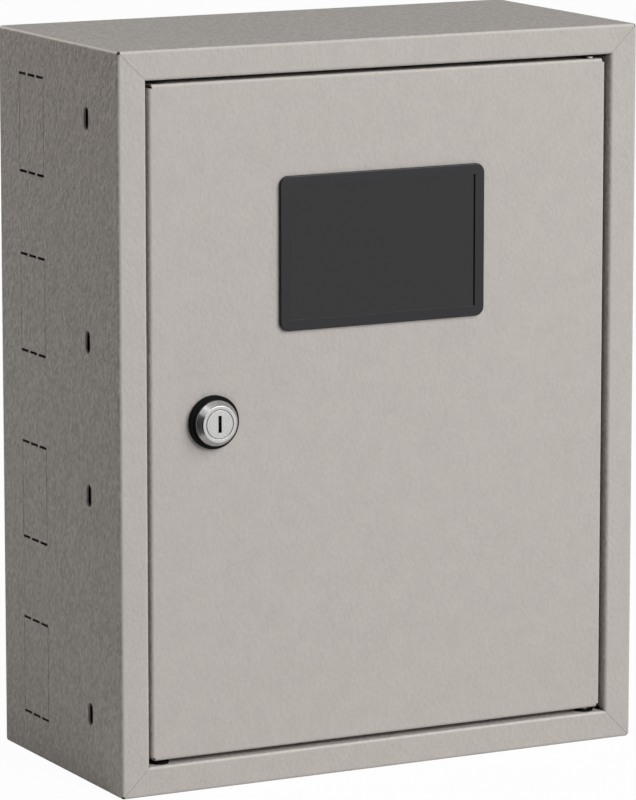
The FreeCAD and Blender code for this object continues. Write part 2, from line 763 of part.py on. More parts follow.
def build_window():
    """Window: a dark rim that clips into the door, its seal and the smoked pane behind it."""
    # The rim's own frame has its front in the plane y = 0 and the pane behind it
    rim = new_body("window_bezel")
    face = sketch_on(rim, "rim_face", "XZ_Plane")
    centred_rectangle(face, "(Size.window_width / 2)", "(Size.window_height / 2)")
    plate = extrude(rim, "Pad", face, "Size.window_proud - Size.seal_gauge", backward=True)
    half_x, half_z = value("Size.window_width / 2"), value("Size.window_height / 2")
    rounded = round_edges(rim, plate, corner_edges(plate.Shape, half_x, half_z), "Size.window_corner")
    front = [
        f"Edge{number}"
        for number, edge in enumerate(rounded.Shape.Edges, 1)
        if abs(edge.BoundBox.YMin) < NEAR and abs(edge.BoundBox.YMax) < NEAR
    ]
    round_edges(rim, rounded, front, "Size.rim_round")
    skirt = sketch_on(rim, "rim_skirt", "XZ_Plane", "-Size.rim_lip")
    centred_rectangle(skirt, "Place.skirt_x", "Place.skirt_z")
    extrude(rim, "Pad", skirt, "Place.skirt_back - Size.rim_lip", backward=True)
    seat = sketch_on(rim, "pane_seat", "XZ_Plane", "-Size.rim_lip")
    centred_rectangle(seat, "Place.skirt_in_x", "Place.skirt_in_z")
    extrude(rim, "Pocket", seat, "Place.skirt_back")
    sight = sketch_on(rim, "sight_opening", "XZ_Plane")
    centred_rectangle(sight, "Place.sight_x", "Place.sight_z")
    cut_through(rim, sight)
    # Clip lugs on the long sides catch behind the door sheet
    lugs = sketch_on(rim, "clip_lugs", "YZ_Plane", "-(Size.lug_spacing + Size.lug_length) / 2")
    behind = "Size.window_proud + Size.sheet_gauge"
    polygon(
        lugs,
        [
            (behind, "Place.skirt_z"),
            (behind, "Place.skirt_z + Size.lug_height"),
            ("Place.skirt_back", "Place.skirt_z"),
        ],
    )
    lug = extrude(rim, "Pad", lugs, "Size.lug_length")
    spread(rim, [lug], [row(rim, "X_Axis", "Size.lug_spacing", 2), mirror(rim, "XY_Plane")])
    place(rim, "0", "Place.door_face - Size.window_proud", "Size.window_rise")

    seal = new_body("window_seal")
    ring = sketch_on(seal, "seal_ring", "XZ_Plane")
    outer = "(Size.window_{} / 2 - Size.seal_inset)"
    centred_rectangle(ring, outer.format("width"), outer.format("height"))
    band = extrude(seal, "Pad", ring, "Size.seal_gauge")
    half_x, half_z = value(outer.format("width")), value(outer.format("height"))
    corner = "Size.window_corner - Size.seal_inset"
    round_edges(seal, band, corner_edges(band.Shape, half_x, half_z), corner)
    bore = sketch_on(seal, "seal_bore", "XZ_Plane")
    centred_rectangle(bore, "Place.cutout_x", "Place.cutout_z")
    cut_through(seal, bore)
    place(seal, "0", "Place.door_face", "Size.window_rise")

    pane = new_body("window_pane")
    sheet = sketch_on(pane, "pane_outline", "XZ_Plane")
    centred_rectangle(sheet, "Place.pane_x", "Place.pane_z")
    extrude(pane, "Pad", sheet, "Size.pane_gauge", backward=True)
    depth = "Place.door_face - Size.window_proud + Size.rim_lip"
    place(pane, "0", depth, "Size.window_rise")


def place_on_lock(part, depth):
    """Puts a piece on the lock's axis, with its upright axis out of the front."""
    place(part, "Place.lock_x", depth, "0", FORWARD)


def build_lock():
    """Cam lock: a coned head and threaded barrel in the door, and the plug and cam that turn."""
    washer = new_body("lock_washer")
    thread = "Size.thread_diameter / 2"
    rim = "Size.lock_washer_diameter / 2"
    bore = f"{thread} + Size.thread_fit"
    build_washer(washer, bore, rim, "Size.lock_washer_height")
    place_on_lock(washer, "Place.door_face")

    # Heights along the barrel are measured forward from its back end
    barrel = new_body("lock_barrel")
    head_back = "Place.lock_depth - Size.head_height"
    plug_bore = "Size.plug_diameter / 2 + Size.plug_fit"
    face_bore = "Size.plug_face / 2 + Size.plug_fit"
    face_floor = "Place.lock_depth - Size.plug_face_depth - Size.plug_float"
    turn_profile(
        barrel,
        [
            (plug_bore, "0"),
            (thread, "0"),
            (thread, head_back),
            ("Size.head_diameter / 2", head_back),
            ("Size.head_diameter / 2", f"{head_back} + Size.head_rim"),
            ("Size.head_face / 2", "Place.lock_depth"),
            (face_bore, "Place.lock_depth"),
            (face_bore, face_floor),
            (plug_bore, face_floor),
        ],
    )
    flats = sketch_on(barrel, "thread_flats", "XY_Plane")
    for way in ("-", ""):
        rectangle(
            flats,
            "-Size.thread_diameter",
            "Size.thread_diameter",
            f"{way}Size.thread_flats / 2",
            f"{way}Size.thread_diameter",
        )
    extrude(barrel, "Pocket", flats, f"{head_back} - Size.lock_washer_height", backward=True)
    place_on_lock(barrel, "Place.barrel_back")

    tooth = new_body("lock_tooth_washer")
    build_washer(tooth, bore, "Size.tooth_washer_diameter / 2", "Size.tooth_washer_gauge")
    tooth_back = "Place.door_inside + Size.tooth_washer_gauge"
    place_on_lock(tooth, tooth_back)
    nut = new_body("lock_nut")
    build_nut(nut, "Size.lock_nut_across", f"2 * ({bore})", "Size.lock_nut_height")
    place_on_lock(nut, f"{tooth_back} + Size.lock_nut_height")

    # Heights along the plug are measured forward from the cam's front face
    plug = new_body("lock_plug")
    plug_face = "Place.cam_front - Place.lock_face"
    face_back = f"{plug_face} - Size.plug_face_depth"
    turn_profile(
        plug,
        [
            ("0", "0"),
            ("Size.plug_diameter / 2", "0"),
            ("Size.plug_diameter / 2", face_back),
            ("Size.plug_face / 2", face_back),
            ("Size.plug_face / 2", plug_face),
            ("0", plug_face),
        ],
    )
    key = sketch_on(plug, "key_slot", "XY_Plane", plug_face)
    centred_rectangle(key, "(Size.key_width / 2)", "(Size.key_height / 2)")
    extrude(plug, "Pocket", key, "Size.key_depth")
    square = sketch_on(plug, "cam_tang", "XY_Plane")
    centred_rectangle(square, "(Size.cam_square / 2)", "(Size.cam_square / 2)")
    extrude(plug, "Pad", square, "Size.cam_gauge", backward=True)
    tapped = sketch_on(plug, "tapped_hole", "XY_Plane", "-Size.cam_gauge")
    circle(tapped, "0", "0", "Size.cam_screw_thread")
    extrude(plug, "Pocket", tapped, "Size.cam_screw_grip", backward=True)
    place_on_lock(plug, "Place.cam_front")

    # At rest the cam hangs straight down, clear of the lip
    cam = new_body("lock_cam")
    blade = sketch_on(cam, "cam_outline", "XY_Plane")
    obround(
        blade,
        "0",
        "(Size.cam_width / 2 - Size.cam_reach) / 2",
        "Size.cam_width",
        "(Size.cam_reach + Size.cam_width / 2)",
    )
    extrude(cam, "Pad", blade, "Size.cam_gauge", backward=True)
    eye = sketch_on(cam, "cam_eye", "XY_Plane")
    centred_rectangle(eye, "(Size.cam_square / 2)", "(Size.cam_square / 2)")
    cut_through(cam, eye)
    place_on_lock(cam, "Place.cam_front")

    spring = new_body("cam_washer")
    screw = "Size.cam_screw_thread / 2"
    build_washer(spring, screw, "Size.cam_washer_diameter / 2", "Size.cam_washer_gauge")
    washer_back = "Place.cam_front + Size.cam_gauge + Size.cam_washer_gauge"
    place_on_lock(spring, washer_back)
    bolt = new_body("cam_screw")
    head = sketch_on(bolt, "screw_head", "XY_Plane")
    hexagon(head, "Size.cam_screw_across")
    extrude(bolt, "Pad", head, "Size.cam_screw_head", backward=True)
    stem = sketch_on(bolt, "screw_stem", "XY_Plane")
    circle(stem, "0", "0", "Size.cam_screw_thread")
    extrude(bolt, "Pad", stem, "Size.cam_washer_gauge + Size.cam_screw_grip")
    place_on_lock(bolt, washer_back)


def build_washer(body, bore, rim, gauge):
    """Plain washer between two radii."""
    turn_profile(body, [(bore, "0"), (rim, "0"), (rim, gauge), (bore, gauge)])


def build_nut(body, across, bore, height):
    """Hexagon nut with a plain bore."""
    flats = sketch_on(body, f"{body.Name}_flats", "XY_Plane")
    hexagon(flats, across)
    circle(flats, "0", "0", bore)
    extrude(body, "Pad", flats, height)


def build_screw(body, thread, stem, head, head_height, slot):
    """Slotted screw whose head seats at its own origin, pointing forward."""
    turn_profile(
        body,
        [
            ("0", f"-{stem}"),
            (f"{thread} / 2", f"-{stem}"),
            (f"{thread} / 2", "0"),
            (f"{head} / 2", "0"),
            (f"{head} / 2", head_height),
            ("0", head_height),
        ],
    )
    groove = sketch_on(body, f"{body.Name}_slot", "XY_Plane", head_height)
    centred_rectangle(groove, f"({slot} / 2)", head)
    extrude(body, "Pocket", groove, f"{head_height} / 2")


def build_meter_plate():
    """Plate for the meter, on four studs welded to the back."""
    corner_x, corner_z = "-Size.stud_spacing_x / 2", "-Size.stud_spacing_z / 2"
    grid = (("X_Axis", "Size.stud_spacing_x", 2), ("Y_Axis", "Size.stud_spacing_z", 2))
    thread = "Size.small_thread / 2"
    collar = "Size.stud_collar / 2"
    studs = new_body("panel_studs")
    end = "Size.panel_standoff + Size.stud_grip"
    turn_profile(
        studs,
        [
            ("0", "0"),
            (collar, "0"),
            (collar, "Size.panel_standoff"),
            (thread, "Size.panel_standoff"),
            (thread, end),
            ("0", end),
        ],
    )
    repeat_whole(studs, *grid)
    place(studs, corner_x, "Place.wall_face", corner_z, FORWARD)

    plate = new_body("meter_panel")
    outline = sketch_on(plate, "panel_outline", "XZ_Plane")
    centred_rectangle(outline, "(Size.panel_width / 2)", "(Size.panel_height / 2)")
    extrude(plate, "Pad", outline, "Size.panel_gauge")
    flanges = sketch_on(plate, "panel_flanges", "XZ_Plane")
    rectangle(
        flanges,
        "Size.panel_width / 2 - Size.panel_gauge",
        "Size.panel_width / 2",
        "-Size.panel_height / 2",
        "Size.panel_height / 2",
    )
    fold = extrude(plate, "Pad", flanges, "Size.panel_flange - Size.panel_gauge", backward=True)
    spread(plate, [fold], [mirror(plate, "YZ_Plane")])
    holes = sketch_on(plate, "stud_holes", "XZ_Plane")
    circle(holes, "Size.stud_spacing_x / 2", "Size.stud_spacing_z / 2", "Size.small_bore")
    bored = cut_through(plate, holes)
    spread(plate, [bored], [mirror(plate, role) for role in ("YZ_Plane", "XY_Plane")])
    screws = sketch_on(plate, "screw_holes", "XZ_Plane")
    for way in ("-", ""):
        circle(screws, f"{way}Size.rail_screw_spacing / 2", "Size.window_rise", "Size.rail_screw_thread")
        for drop in ("neutral", "earth"):
            circle(screws, f"{way}Size.foot_spacing / 2", f"-Size.{drop}_drop", "Size.bar_screw_thread")
    cut_through(plate, screws)
    place(plate, "0", "Place.panel_back", "0")

    washers = new_body("panel_washers")
    build_washer(washers, "Size.small_bore / 2", "Size.small_washer / 2", "Size.small_washer_gauge")
    repeat_whole(washers, *grid)
    place(washers, corner_x, "Place.panel_face", corner_z, FORWARD)
    nuts = new_body("panel_nuts")
    build_nut(nuts, "Size.small_nut_across", "Size.small_thread", "Size.small_nut_height")
    repeat_whole(nuts, *grid)
    place(nuts, corner_x, "Place.panel_face - Size.small_washer_gauge", corner_z, FORWARD)


def build_rail():
    """Top-hat rail behind the window, held by two screws through the plate."""
    rail = new_body("din_rail")
    section = sketch_on(rail, "rail_section", "YZ_Plane")
    half, channel = "Size.rail_width / 2", "Size.rail_channel / 2"
    gauge, height = "Size.rail_gauge", "-Size.rail_height"
    upper = [
        ("0", channel),
        (f"{height} + {gauge}", channel),
        (f"{height} + {gauge}", half),
        (height, half),
        (height, f"{channel} - {gauge}"),
        (f"-{gauge}", f"{channel} - {gauge}"),
    ]
    lower = [(y, f"-({z})") for y, z in reversed(upper)]
    polygon(section, upper + lower)
    bar = rail.newObject("PartDesign::Pad", "rail_run")
    bar.Profile = section
    bar.SideType = "Symmetric"
    bar.setExpression("Length", "Size.rail_length")
    DOC.recompute()
    holes = sketch_on(rail, "rail_holes", "XZ_Plane")
    for way in ("-", ""):
        circle(holes, f"{way}Size.rail_screw_spacing / 2", "0", "Size.rail_screw_thread")
    cut_through(rail, holes)
    place(rail, "0", "Place.panel_face", "Size.window_rise")

    screws = new_body("din_rail_screws")
    stem = "(Size.rail_gauge + Size.panel_gauge + Size.screw_tail)"
    head, height = "Size.rail_screw_head", "Size.rail_screw_head_height"
    build_screw(screws, "Size.rail_screw_thread", stem, head, height, "Size.terminal_slot")
    repeat_whole(screws, ("X_Axis", "Size.rail_screw_spacing", 2))
    seat = "Place.panel_face - Size.rail_gauge"
    place(screws, "-Size.rail_screw_spacing / 2", seat, "Size.window_rise", FORWARD)


def build_terminal_bar(kind):
    """Terminal bar on two feet, with its clamping screws and the screws that hold it."""
    drop = f"-Size.{kind}_drop"
    feet = new_body(f"{kind}_bar_feet")
    sole = sketch_on(feet, f"{kind}_foot_sole", "XZ_Plane")
    rectangle(
        sole,
        "-(Size.foot_spacing + Size.foot_width) / 2",
        "-(Size.foot_spacing - Size.foot_width) / 2",
        "-Size.foot_length / 2",
        "Size.foot_length / 2",
    )
    circle(sole, "-Size.foot_spacing / 2", "0", "Size.bar_screw_thread")
    extrude(feet, "Pad", sole, "Size.foot_height")
    repeat_whole(feet, ("X_Axis", "Size.foot_spacing", 2))
    place(feet, "0", "Place.panel_face", drop)

    bar = new_body(f"{kind}_bar")
    section = sketch_on(bar, f"{kind}_bar_face", "XZ_Plane")
    centred_rectangle(section, "(Size.bar_length / 2)", "(Size.bar_size / 2)")
    for way in ("-", ""):
        circle(section, f"{way}Size.foot_spacing / 2", "0", "Size.bar_screw_thread")
    extrude(bar, "Pad", section, "Size.bar_size")
    wires = sketch_on(bar, f"{kind}_wire_holes", "XY_Plane")
    circle(wires, "-Size.terminal_run / 2", "-Size.wire_setback", "Size.wire_bore")
    wire = cut_through(bar, wires)
    taps = sketch_on(bar, f"{kind}_tapped_holes", "XZ_Plane", "Size.bar_size")
    circle(taps, "-Size.terminal_run / 2", "0", "Size.terminal_thread")
    tap = extrude(bar, "Pocket", taps, "Size.bar_size - Size.wire_setback")
    spread(bar, [wire, tap], [row(bar, "X_Axis", "Size.terminal_run", TERMINALS)])
    place(bar, "0", "Place.bar_back", drop)

    screws = new_body(f"{kind}_bar_screws")
    turn_profile(
        screws,
        [
            ("0", "-Size.terminal_stand"),
            ("Size.terminal_thread / 2", "-Size.terminal_stand"),
            ("Size.terminal_thread / 2", "0"),
            ("Size.terminal_head / 2", "0"),
            ("Size.terminal_head / 2", "Size.terminal_stand"),
            ("0", "Size.terminal_stand"),
        ],
    )
    groove = sketch_on(screws, f"{kind}_screw_slot", "XY_Plane", "Size.terminal_stand")
    centred_rectangle(groove, "(Size.terminal_slot / 2)", "Size.terminal_head")
    extrude(screws, "Pocket", groove, "Size.terminal_stand / 2")
    repeat_whole(screws, ("X_Axis", "Size.terminal_run", TERMINALS))
    place(screws, "-Size.terminal_run / 2", "Place.bar_face", drop, FORWARD)

    fixings = new_body(f"{kind}_fixing_screws")
    stem = "(Size.bar_size + Size.foot_height + Size.panel_gauge + Size.screw_tail)"
    head, height = "Size.bar_screw_head", "Size.bar_screw_head_height"
    build_screw(fixings, "Size.bar_screw_thread", stem, head, height, "Size.terminal_slot")
    repeat_whole(fixings, ("X_Axis", "Size.foot_spacing", 2))
    place(fixings, "-Size.foot_spacing / 2", "Place.bar_face", drop, FORWARD)


def build_earth_stud(prefix, thread, length, seat, spot, turn, washer, nut):
    """Welded earth stud with its washer and nut; washer and nut give (size, height) pairs."""
    away = "-" if turn == FORWARD else "+"
    stud = new_body(f"{prefix}earth_stud")
    turn_profile(stud, [("0", "0"), (f"{thread} / 2", "0"), (f"{thread} / 2", length), ("0", length)])
    place(stud, spot[0], seat, spot[1], turn)
    ring = new_body(f"{prefix}earth_washer")
    build_washer(ring, f"{thread} / 2", f"{washer[0]} / 2", washer[1])
    place(ring, spot[0], seat, spot[1], turn)
    lock = new_body(f"{prefix}earth_nut")
    build_nut(lock, nut[0], thread, nut[1])
    place(lock, spot[0], f"{seat} {away} {washer[1]}", spot[1], turn)


def check_and_write():
    """Stops on a failed or empty shape, then writes one file for each sub-part."""
    failed = [item.Label for item in DOC.Objects if {"Invalid", "Error"} & set(item.State)]
    if failed:
        raise RuntimeError(f"did not build: {failed}")
    for part in PARTS:
        if part.Shape.isNull() or not part.Shape.isValid() or not part.Shape.Solids:
            raise RuntimeError(f"{part.Label} has no sound shape")
    os.makedirs("parts", exist_ok=True)
    for part in PARTS:
        part.Shape.exportStep(os.path.join("parts", f"{part.Label}.step"))


build_enclosure()
build_hinge()
build_door()
build_window()
build_lock()
build_meter_plate()
build_rail()
build_terminal_bar("neutral")
build_terminal_bar("earth")
build_earth_stud(
    "",
    "Size.earth_thread",
    "Size.earth_length",
    "Place.wall_face",
    ("Place.earth_x", "Size.earth_stud_rise - Place.case_z"),
    FORWARD,
    ("Size.earth_washer", "Size.earth_washer_gauge"),
    ("Size.earth_nut_across", "Size.earth_nut_height"),
)
build_earth_stud(
    "door_",
    "Size.small_thread",
    "Size.door_stud_length",
    "Place.door_inside",
    ("Place.door_x - Size.door_stud_inset", "Size.door_stud_rise - Place.door_z"),
    BACKWARD,
    ("Size.small_washer", "Size.small_washer_gauge"),
    ("Size.small_nut_across", "Size.small_nut_height"),
)
DOC.recompute()
check_and_write()
for part in PARTS:
    print(part.Label, len(part.Shape.Solids), round(part.Shape.Volume, 1))
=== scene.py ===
"""Electric meter box: the looks of a packed wall box, dressed on its own frame, in metres."""

import itertools
import json
import logging
import math
from dataclasses import dataclass
from enum import Enum
from typing import ClassVar

import bpy
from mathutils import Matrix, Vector


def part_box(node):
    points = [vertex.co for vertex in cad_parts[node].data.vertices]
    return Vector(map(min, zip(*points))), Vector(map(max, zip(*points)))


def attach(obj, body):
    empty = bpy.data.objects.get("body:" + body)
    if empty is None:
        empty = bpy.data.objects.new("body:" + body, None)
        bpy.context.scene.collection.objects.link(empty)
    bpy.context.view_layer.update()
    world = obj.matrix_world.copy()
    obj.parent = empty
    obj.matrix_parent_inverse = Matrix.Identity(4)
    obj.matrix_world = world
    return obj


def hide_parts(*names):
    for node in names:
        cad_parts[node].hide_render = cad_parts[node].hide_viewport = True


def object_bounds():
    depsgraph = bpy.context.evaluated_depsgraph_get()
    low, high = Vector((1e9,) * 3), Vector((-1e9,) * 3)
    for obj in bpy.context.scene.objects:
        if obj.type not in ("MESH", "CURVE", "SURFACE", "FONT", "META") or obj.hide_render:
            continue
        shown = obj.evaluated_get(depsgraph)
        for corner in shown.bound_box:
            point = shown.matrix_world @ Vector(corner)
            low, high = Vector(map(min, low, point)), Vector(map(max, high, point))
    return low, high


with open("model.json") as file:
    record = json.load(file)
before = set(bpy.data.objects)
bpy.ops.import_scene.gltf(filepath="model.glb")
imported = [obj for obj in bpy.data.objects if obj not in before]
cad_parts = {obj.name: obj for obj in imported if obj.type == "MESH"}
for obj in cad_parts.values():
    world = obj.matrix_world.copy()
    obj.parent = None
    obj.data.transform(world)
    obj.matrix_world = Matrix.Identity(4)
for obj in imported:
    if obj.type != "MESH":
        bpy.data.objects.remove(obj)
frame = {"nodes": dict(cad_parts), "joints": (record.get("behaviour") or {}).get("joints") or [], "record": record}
CAD_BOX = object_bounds()
LOG = logging.getLogger("meter_box")

Piece = bpy.types.Object
Triple = tuple[float, float, float]
Colour = Triple
Profile = list[tuple[float, float]]
WHITE: Colour = (1.0, 1.0, 1.0)


class Body(Enum):
    """Bodies of the frame that modelled pieces ride on."""

    CASE = "case"
    DOOR = "door"
    LOCK = "lock"


class Turn(Enum):
    """Ways that a piece modelled upright may point, as angles about the level axis."""

    FRONT = math.radians(90)
    BACK = math.radians(-90)


class Keep(Enum):
    """What stays of a piece when another one cuts it."""

    OUTSIDE = "DIFFERENCE"
    INSIDE = "INTERSECT"


class Signal:
    """A shader socket that adds Math nodes when it is used in arithmetic."""

    def __init__(self, graph: "Graph", socket: bpy.types.NodeSocket) -> None:
        """Wraps an output socket of a graph."""
        self.graph = graph
        self.socket = socket

    def _math(self, operation: str, *values: "Signal | float") -> "Signal":
        """Adds a Math node on the given values."""
        return self.graph.node("ShaderNodeMath", {"operation": operation}, dict(enumerate(values)))

    def __add__(self, other: "Signal | float") -> "Signal":
        """Sum of two values."""
        return self._math("ADD", self, other)

    def __radd__(self, other: float) -> "Signal":
        """Sum with a plain number first."""
        return self._math("ADD", other, self)

    def __sub__(self, other: "Signal | float") -> "Signal":
        """Difference of two values."""
        return self._math("SUBTRACT", self, other)

    def __rsub__(self, other: float) -> "Signal":
        """Difference with a plain number first."""
        return self._math("SUBTRACT", other, self)

    def __mul__(self, other: "Signal | float") -> "Signal":
        """Product of two values."""
        return self._math("MULTIPLY", self, other)

    def __rmul__(self, other: float) -> "Signal":
        """Product with a plain number first."""
        return self._math("MULTIPLY", other, self)

    def __pow__(self, other: "Signal | float") -> "Signal":
        """Power of a value."""
        return self._math("POWER", self, other)


class Graph:
    """Node tree of one material or world, filled through a single method."""

    # Sockets of the Mix node that serve colours
    MIX_FACTOR, MIX_LOW, MIX_HIGH, MIX_RESULT = 0, 6, 7, 2
    # Rays and fall-off of the mask for painted shade in recesses
    PAINTED_SHADE_RAYS = 8
    PAINTED_SHADE_FALL = 2.0
    EDGE_RAYS = 4

    def __init__(self, tree: bpy.types.NodeTree) -> None:
        """Empties a tree to build in it."""
        self.tree = tree
        tree.nodes.clear()

    def node(
        self,
        kind: str,
        settings: dict[str, object] | None = None,
        inputs: dict[int | str, object] | None = None,
        output: int | str = 0,
    ) -> Signal:
        """Adds any node.

        Args:
            kind: Node type.
            settings: Properties of the node, set before its sockets.
            inputs: Values or signals for its sockets, by name or number.
            output: Name or number of the socket to return.

        Returns:
            The chosen output socket.
        """
        made = self.tree.nodes.new(kind)
        for name, value in (settings or {}).items():
            setattr(made, name, value)
        for key, value in (inputs or {}).items():
            if isinstance(value, Signal):
                self.tree.links.new(value.socket, made.inputs[key])
            else:
                made.inputs[key].default_value = value
        return Signal(self, made.outputs[output] if made.outputs else None)

    def place(self) -> Signal:
        """Object coordinates, which follow the piece."""
        return self.node("ShaderNodeTexCoord", output="Object")

    def noise(self, where: Signal, size: float, detail: float = 2.0) -> Signal:
        """Soft noise with features of about the given size in metres.

        Args:
            where: Coordinates of the noise.
            size: Size of its features.
            detail: Number of finer layers.

        Returns:
            The noise, from 0 to 1.
        """
        sockets = {"Vector": where, "Scale": 1 / size, "Detail": detail}
        return self.node("ShaderNodeTexNoise", None, sockets)

    def stretch(self, where: Signal, scale: Triple) -> Signal:
        """Coordinates scaled along each axis, for brushed or streaked patterns."""
        return self.node("ShaderNodeMapping", None, {"Vector": where, "Scale": scale})

    def split(self, vector: Signal) -> list[Signal]:
        """Parts of a vector along each axis."""
        parts = self.node("ShaderNodeSeparateXYZ", None, {"Vector": vector})
        return [Signal(self, socket) for socket in parts.socket.node.outputs]

    def mix(self, factor: Signal, low: Colour | Signal, high: Colour | Signal) -> Signal:
        """Colour between two colours.

        Args:
            factor: Share of the second colour.
            low: First colour.
            high: Second colour.

        Returns:
            The mixed colour.
        """
        low, high = (end if isinstance(end, Signal) else opaque(end) for end in (low, high))
        ends = {self.MIX_FACTOR: factor, self.MIX_LOW: low, self.MIX_HIGH: high}
        return self.node("ShaderNodeMix", {"data_type": "RGBA"}, ends, self.MIX_RESULT)

    def painted_shade_mask(self, reach: float) -> Signal:
        """Mask for painted shade: 1 on open faces, falling towards 0 in narrow recesses.

        Args:
            reach: Width in metres of the recesses that count.

        Returns:
            How open the surface is, so 0 where a finish paints shade.
        """
        local = {"samples": self.PAINTED_SHADE_RAYS, "only_local": True}
        light = self.node("ShaderNodeAmbientOcclusion", local, {"Distance": reach}, "AO")
        return light ** self.PAINTED_SHADE_FALL

    def bump(self, height: Signal, depth: float, edge: float = 0.0) -> Signal:
        """Normals of a surface with the given relief.

        Args:
            height: Relief from 0 to 1.
            depth: Depth of the relief in metres.
            edge: Radius in metres by which hard edges look broken, or 0.

        Returns:
            Normal for a surface shader.
        """
        sockets = {"Height": height, "Distance": depth}
        if edge:
            rounded = self.node("ShaderNodeBevel", {"samples": self.EDGE_RAYS}, {"Radius": edge})
            sockets["Normal"] = rounded
        return self.node("ShaderNodeBump", None, sockets)


def opaque(colour: Colour) -> tuple[float, float, float, float]:
    """A colour with full alpha."""
    return (*colour, 1.0)


def toned(colour: Colour, factor: float) -> Colour:
    """A colour made lighter or darker."""
    return tuple(min(1.0, channel * factor) for channel in colour)


@dataclass(frozen=True)
class Finish:
    """A surface finish with its own material."""

    name: str
    colour: Colour
    roughness: float
    metallic: float = 0.0
    specular: float = 0.5

    def material(self) -> bpy.types.Material:
        """Builds the finish.

        Returns:
            The new material.
        """
        made = bpy.data.materials.new(self.name)
        made.use_nodes = True
        graph = Graph(made.node_tree)
        sockets = {
            "Base Color": opaque(self.colour),
            "Roughness": self.roughness,
            "Metallic": self.metallic,
            "Specular IOR Level": self.specular,
        }
        sockets.update(self.surface(graph, graph.place()))
        shader = graph.node("ShaderNodeBsdfPrincipled", None, sockets)
        graph.node("ShaderNodeOutputMaterial", None, {"Surface": shader})
        return made

    def surface(self, graph: Graph, where: Signal) -> dict[str, object]:
        """Sockets of the surface shader that this finish sets.

        Args:
            graph: Tree to build in.
            where: Object coordinates.

        Returns:
            Values or signals by socket name.
        """
        raise NotImplementedError

    def shade(self, graph: Graph, factor: Signal, dark: float, light: float) -> Signal:
        """The colour of the finish between two tones, given as shares of it."""
        return graph.mix(factor, toned(self.colour, dark), toned(self.colour, light))


@dataclass(frozen=True)
class PowderCoat(Finish):
    """Powder coat with a mottled relief, heavier off the front, painted shade in the relief's hollows and in
    recesses, and a clear coat with a painted highlight on upward bends.
    """

    relief_size: float = 0.0022
    relief_draw: float = 0.85
    relief_depth: float = 0.0003
    relief_side: float = 1.8
    # Painted shade of the relief: hollows darker and crests lighter, more so off the front, where light grazes
    relief_shade_share: float = 0.25
    relief_shade_off_front: float = 6.5
    # Painted shade in narrow recesses: how far it reaches and how dark it is
    painted_shade_reach: float = 0.0018
    painted_shade_tone: float = 0.15
    # Painted highlight: upward bends lightened to this tone; the clear coat on them is real gloss
    painted_bend_highlight_tone: float = 1.9
    bend_index: float = 2.0
    bend_roughness: float = 0.3
    bend_front: float = 0.4
    bend_side: float = 1.7
    grain_size: float = 0.0009
    grain_share: float = 0.25
    cloud_size: float = 0.009
    cloud_share: float = 0.3
    cloud_gloss: float = 0.1
    tone_range: float = 0.2

    def surface(self, graph: Graph, where: Signal) -> dict[str, object]:
        """Clouded colour with painted shade in the relief's hollows and in recesses and a painted highlight on
        upward bends, uneven gloss, a clear coat on those bends and the relief of the coat.

        Args:
            graph: Tree to build in.
            where: Object coordinates.

        Returns:
            Values or signals by socket name.
        """
        drawn = graph.stretch(where, (1.0, 1.0, self.relief_draw))
        relief = graph.noise(drawn, self.relief_size, 1.0) - 0.5
        grain = graph.noise(where, self.grain_size, 1.0) - 0.5
        cloud = graph.noise(where, self.cloud_size, 4.0)
        normal = graph.split(graph.node("ShaderNodeTexCoord", output="Normal"))
        faces = [part * part for part in normal]
        bend = 2 * (1 - sum(face * face for face in faces))
        # Mask of upward bends, for the clear coat and for the painted highlight
        upward = {0: bend * normal[2], 1: self.bend_front + faces[0] * self.bend_side}
        bend_coat_and_painted_highlight = graph.node("ShaderNodeMath", {"operation": "MULTIPLY", "use_clamp": True}, upward)
        # Painted shade of the relief, stronger off the front
        painted_relief_shade = relief * self.relief_shade_share * (1 + (1 - faces[1]) * self.relief_shade_off_front)
        tone = 0.5 + (cloud - 0.5) * self.cloud_share + painted_relief_shade
        plain = self.shade(graph, tone, 1 - self.tone_range, 1 + self.tone_range)
        # Painted highlight: the coat's colour lightened on upward bends
        coat = graph.mix(bend_coat_and_painted_highlight, plain, toned(self.colour, self.painted_bend_highlight_tone))
        # Painted shade: the coat's colour darkened in recesses
        painted_shade = toned(self.colour, self.painted_shade_tone)
        peel = (relief + grain * self.grain_share) * (1 - bend)
        height = peel * (1 + faces[0] * self.relief_side)
        return {
            "Base Color": graph.mix(graph.painted_shade_mask(self.painted_shade_reach), painted_shade, coat),
            "Roughness": self.roughness + (cloud - 0.5) * self.cloud_gloss,
            "Coat Weight": bend_coat_and_painted_highlight,
            "Coat Roughness": self.bend_roughness,
            "Coat IOR": self.bend_index,
            "Normal": graph.bump(height, self.relief_depth),
        }


@dataclass(frozen=True)
class Grained(Finish):
    """Clouded colour and gloss over a fine grain, which may be drawn out along an axis."""

    cloud_size: float = 0.012
    cloud_detail: float = 3.0
    cloud_dark: float = 0.85
    cloud_light: float = 1.15
    cloud_gloss: float = 0.0
    grain_size: float = 0.0007
    grain_detail: float = 2.0
    grain_draw: Triple = (1.0, 1.0, 1.0)
    grain_gloss: float = 0.0
    grain_depth: float = 0.00002
    edge: float = 0.0002

    def surface(self, graph: Graph, where: Signal) -> dict[str, object]:
        """Clouded colour, uneven gloss and the relief of the grain.

        Args:
            graph: Tree to build in.
            where: Object coordinates.

        Returns:
            Values or signals by socket name.
        """
        cloud = graph.noise(where, self.cloud_size, self.cloud_detail)
        drawn = graph.stretch(where, self.grain_draw)
        grain = graph.noise(drawn, self.grain_size, self.grain_detail)
        gloss = cloud * self.cloud_gloss + (grain - 0.5) * self.grain_gloss
        return {
            "Base Color": self.shade(graph, cloud, self.cloud_dark, self.cloud_light),
            "Roughness": self.roughness + gloss,
            "Normal": graph.bump(grain, self.grain_depth, self.edge),
        }


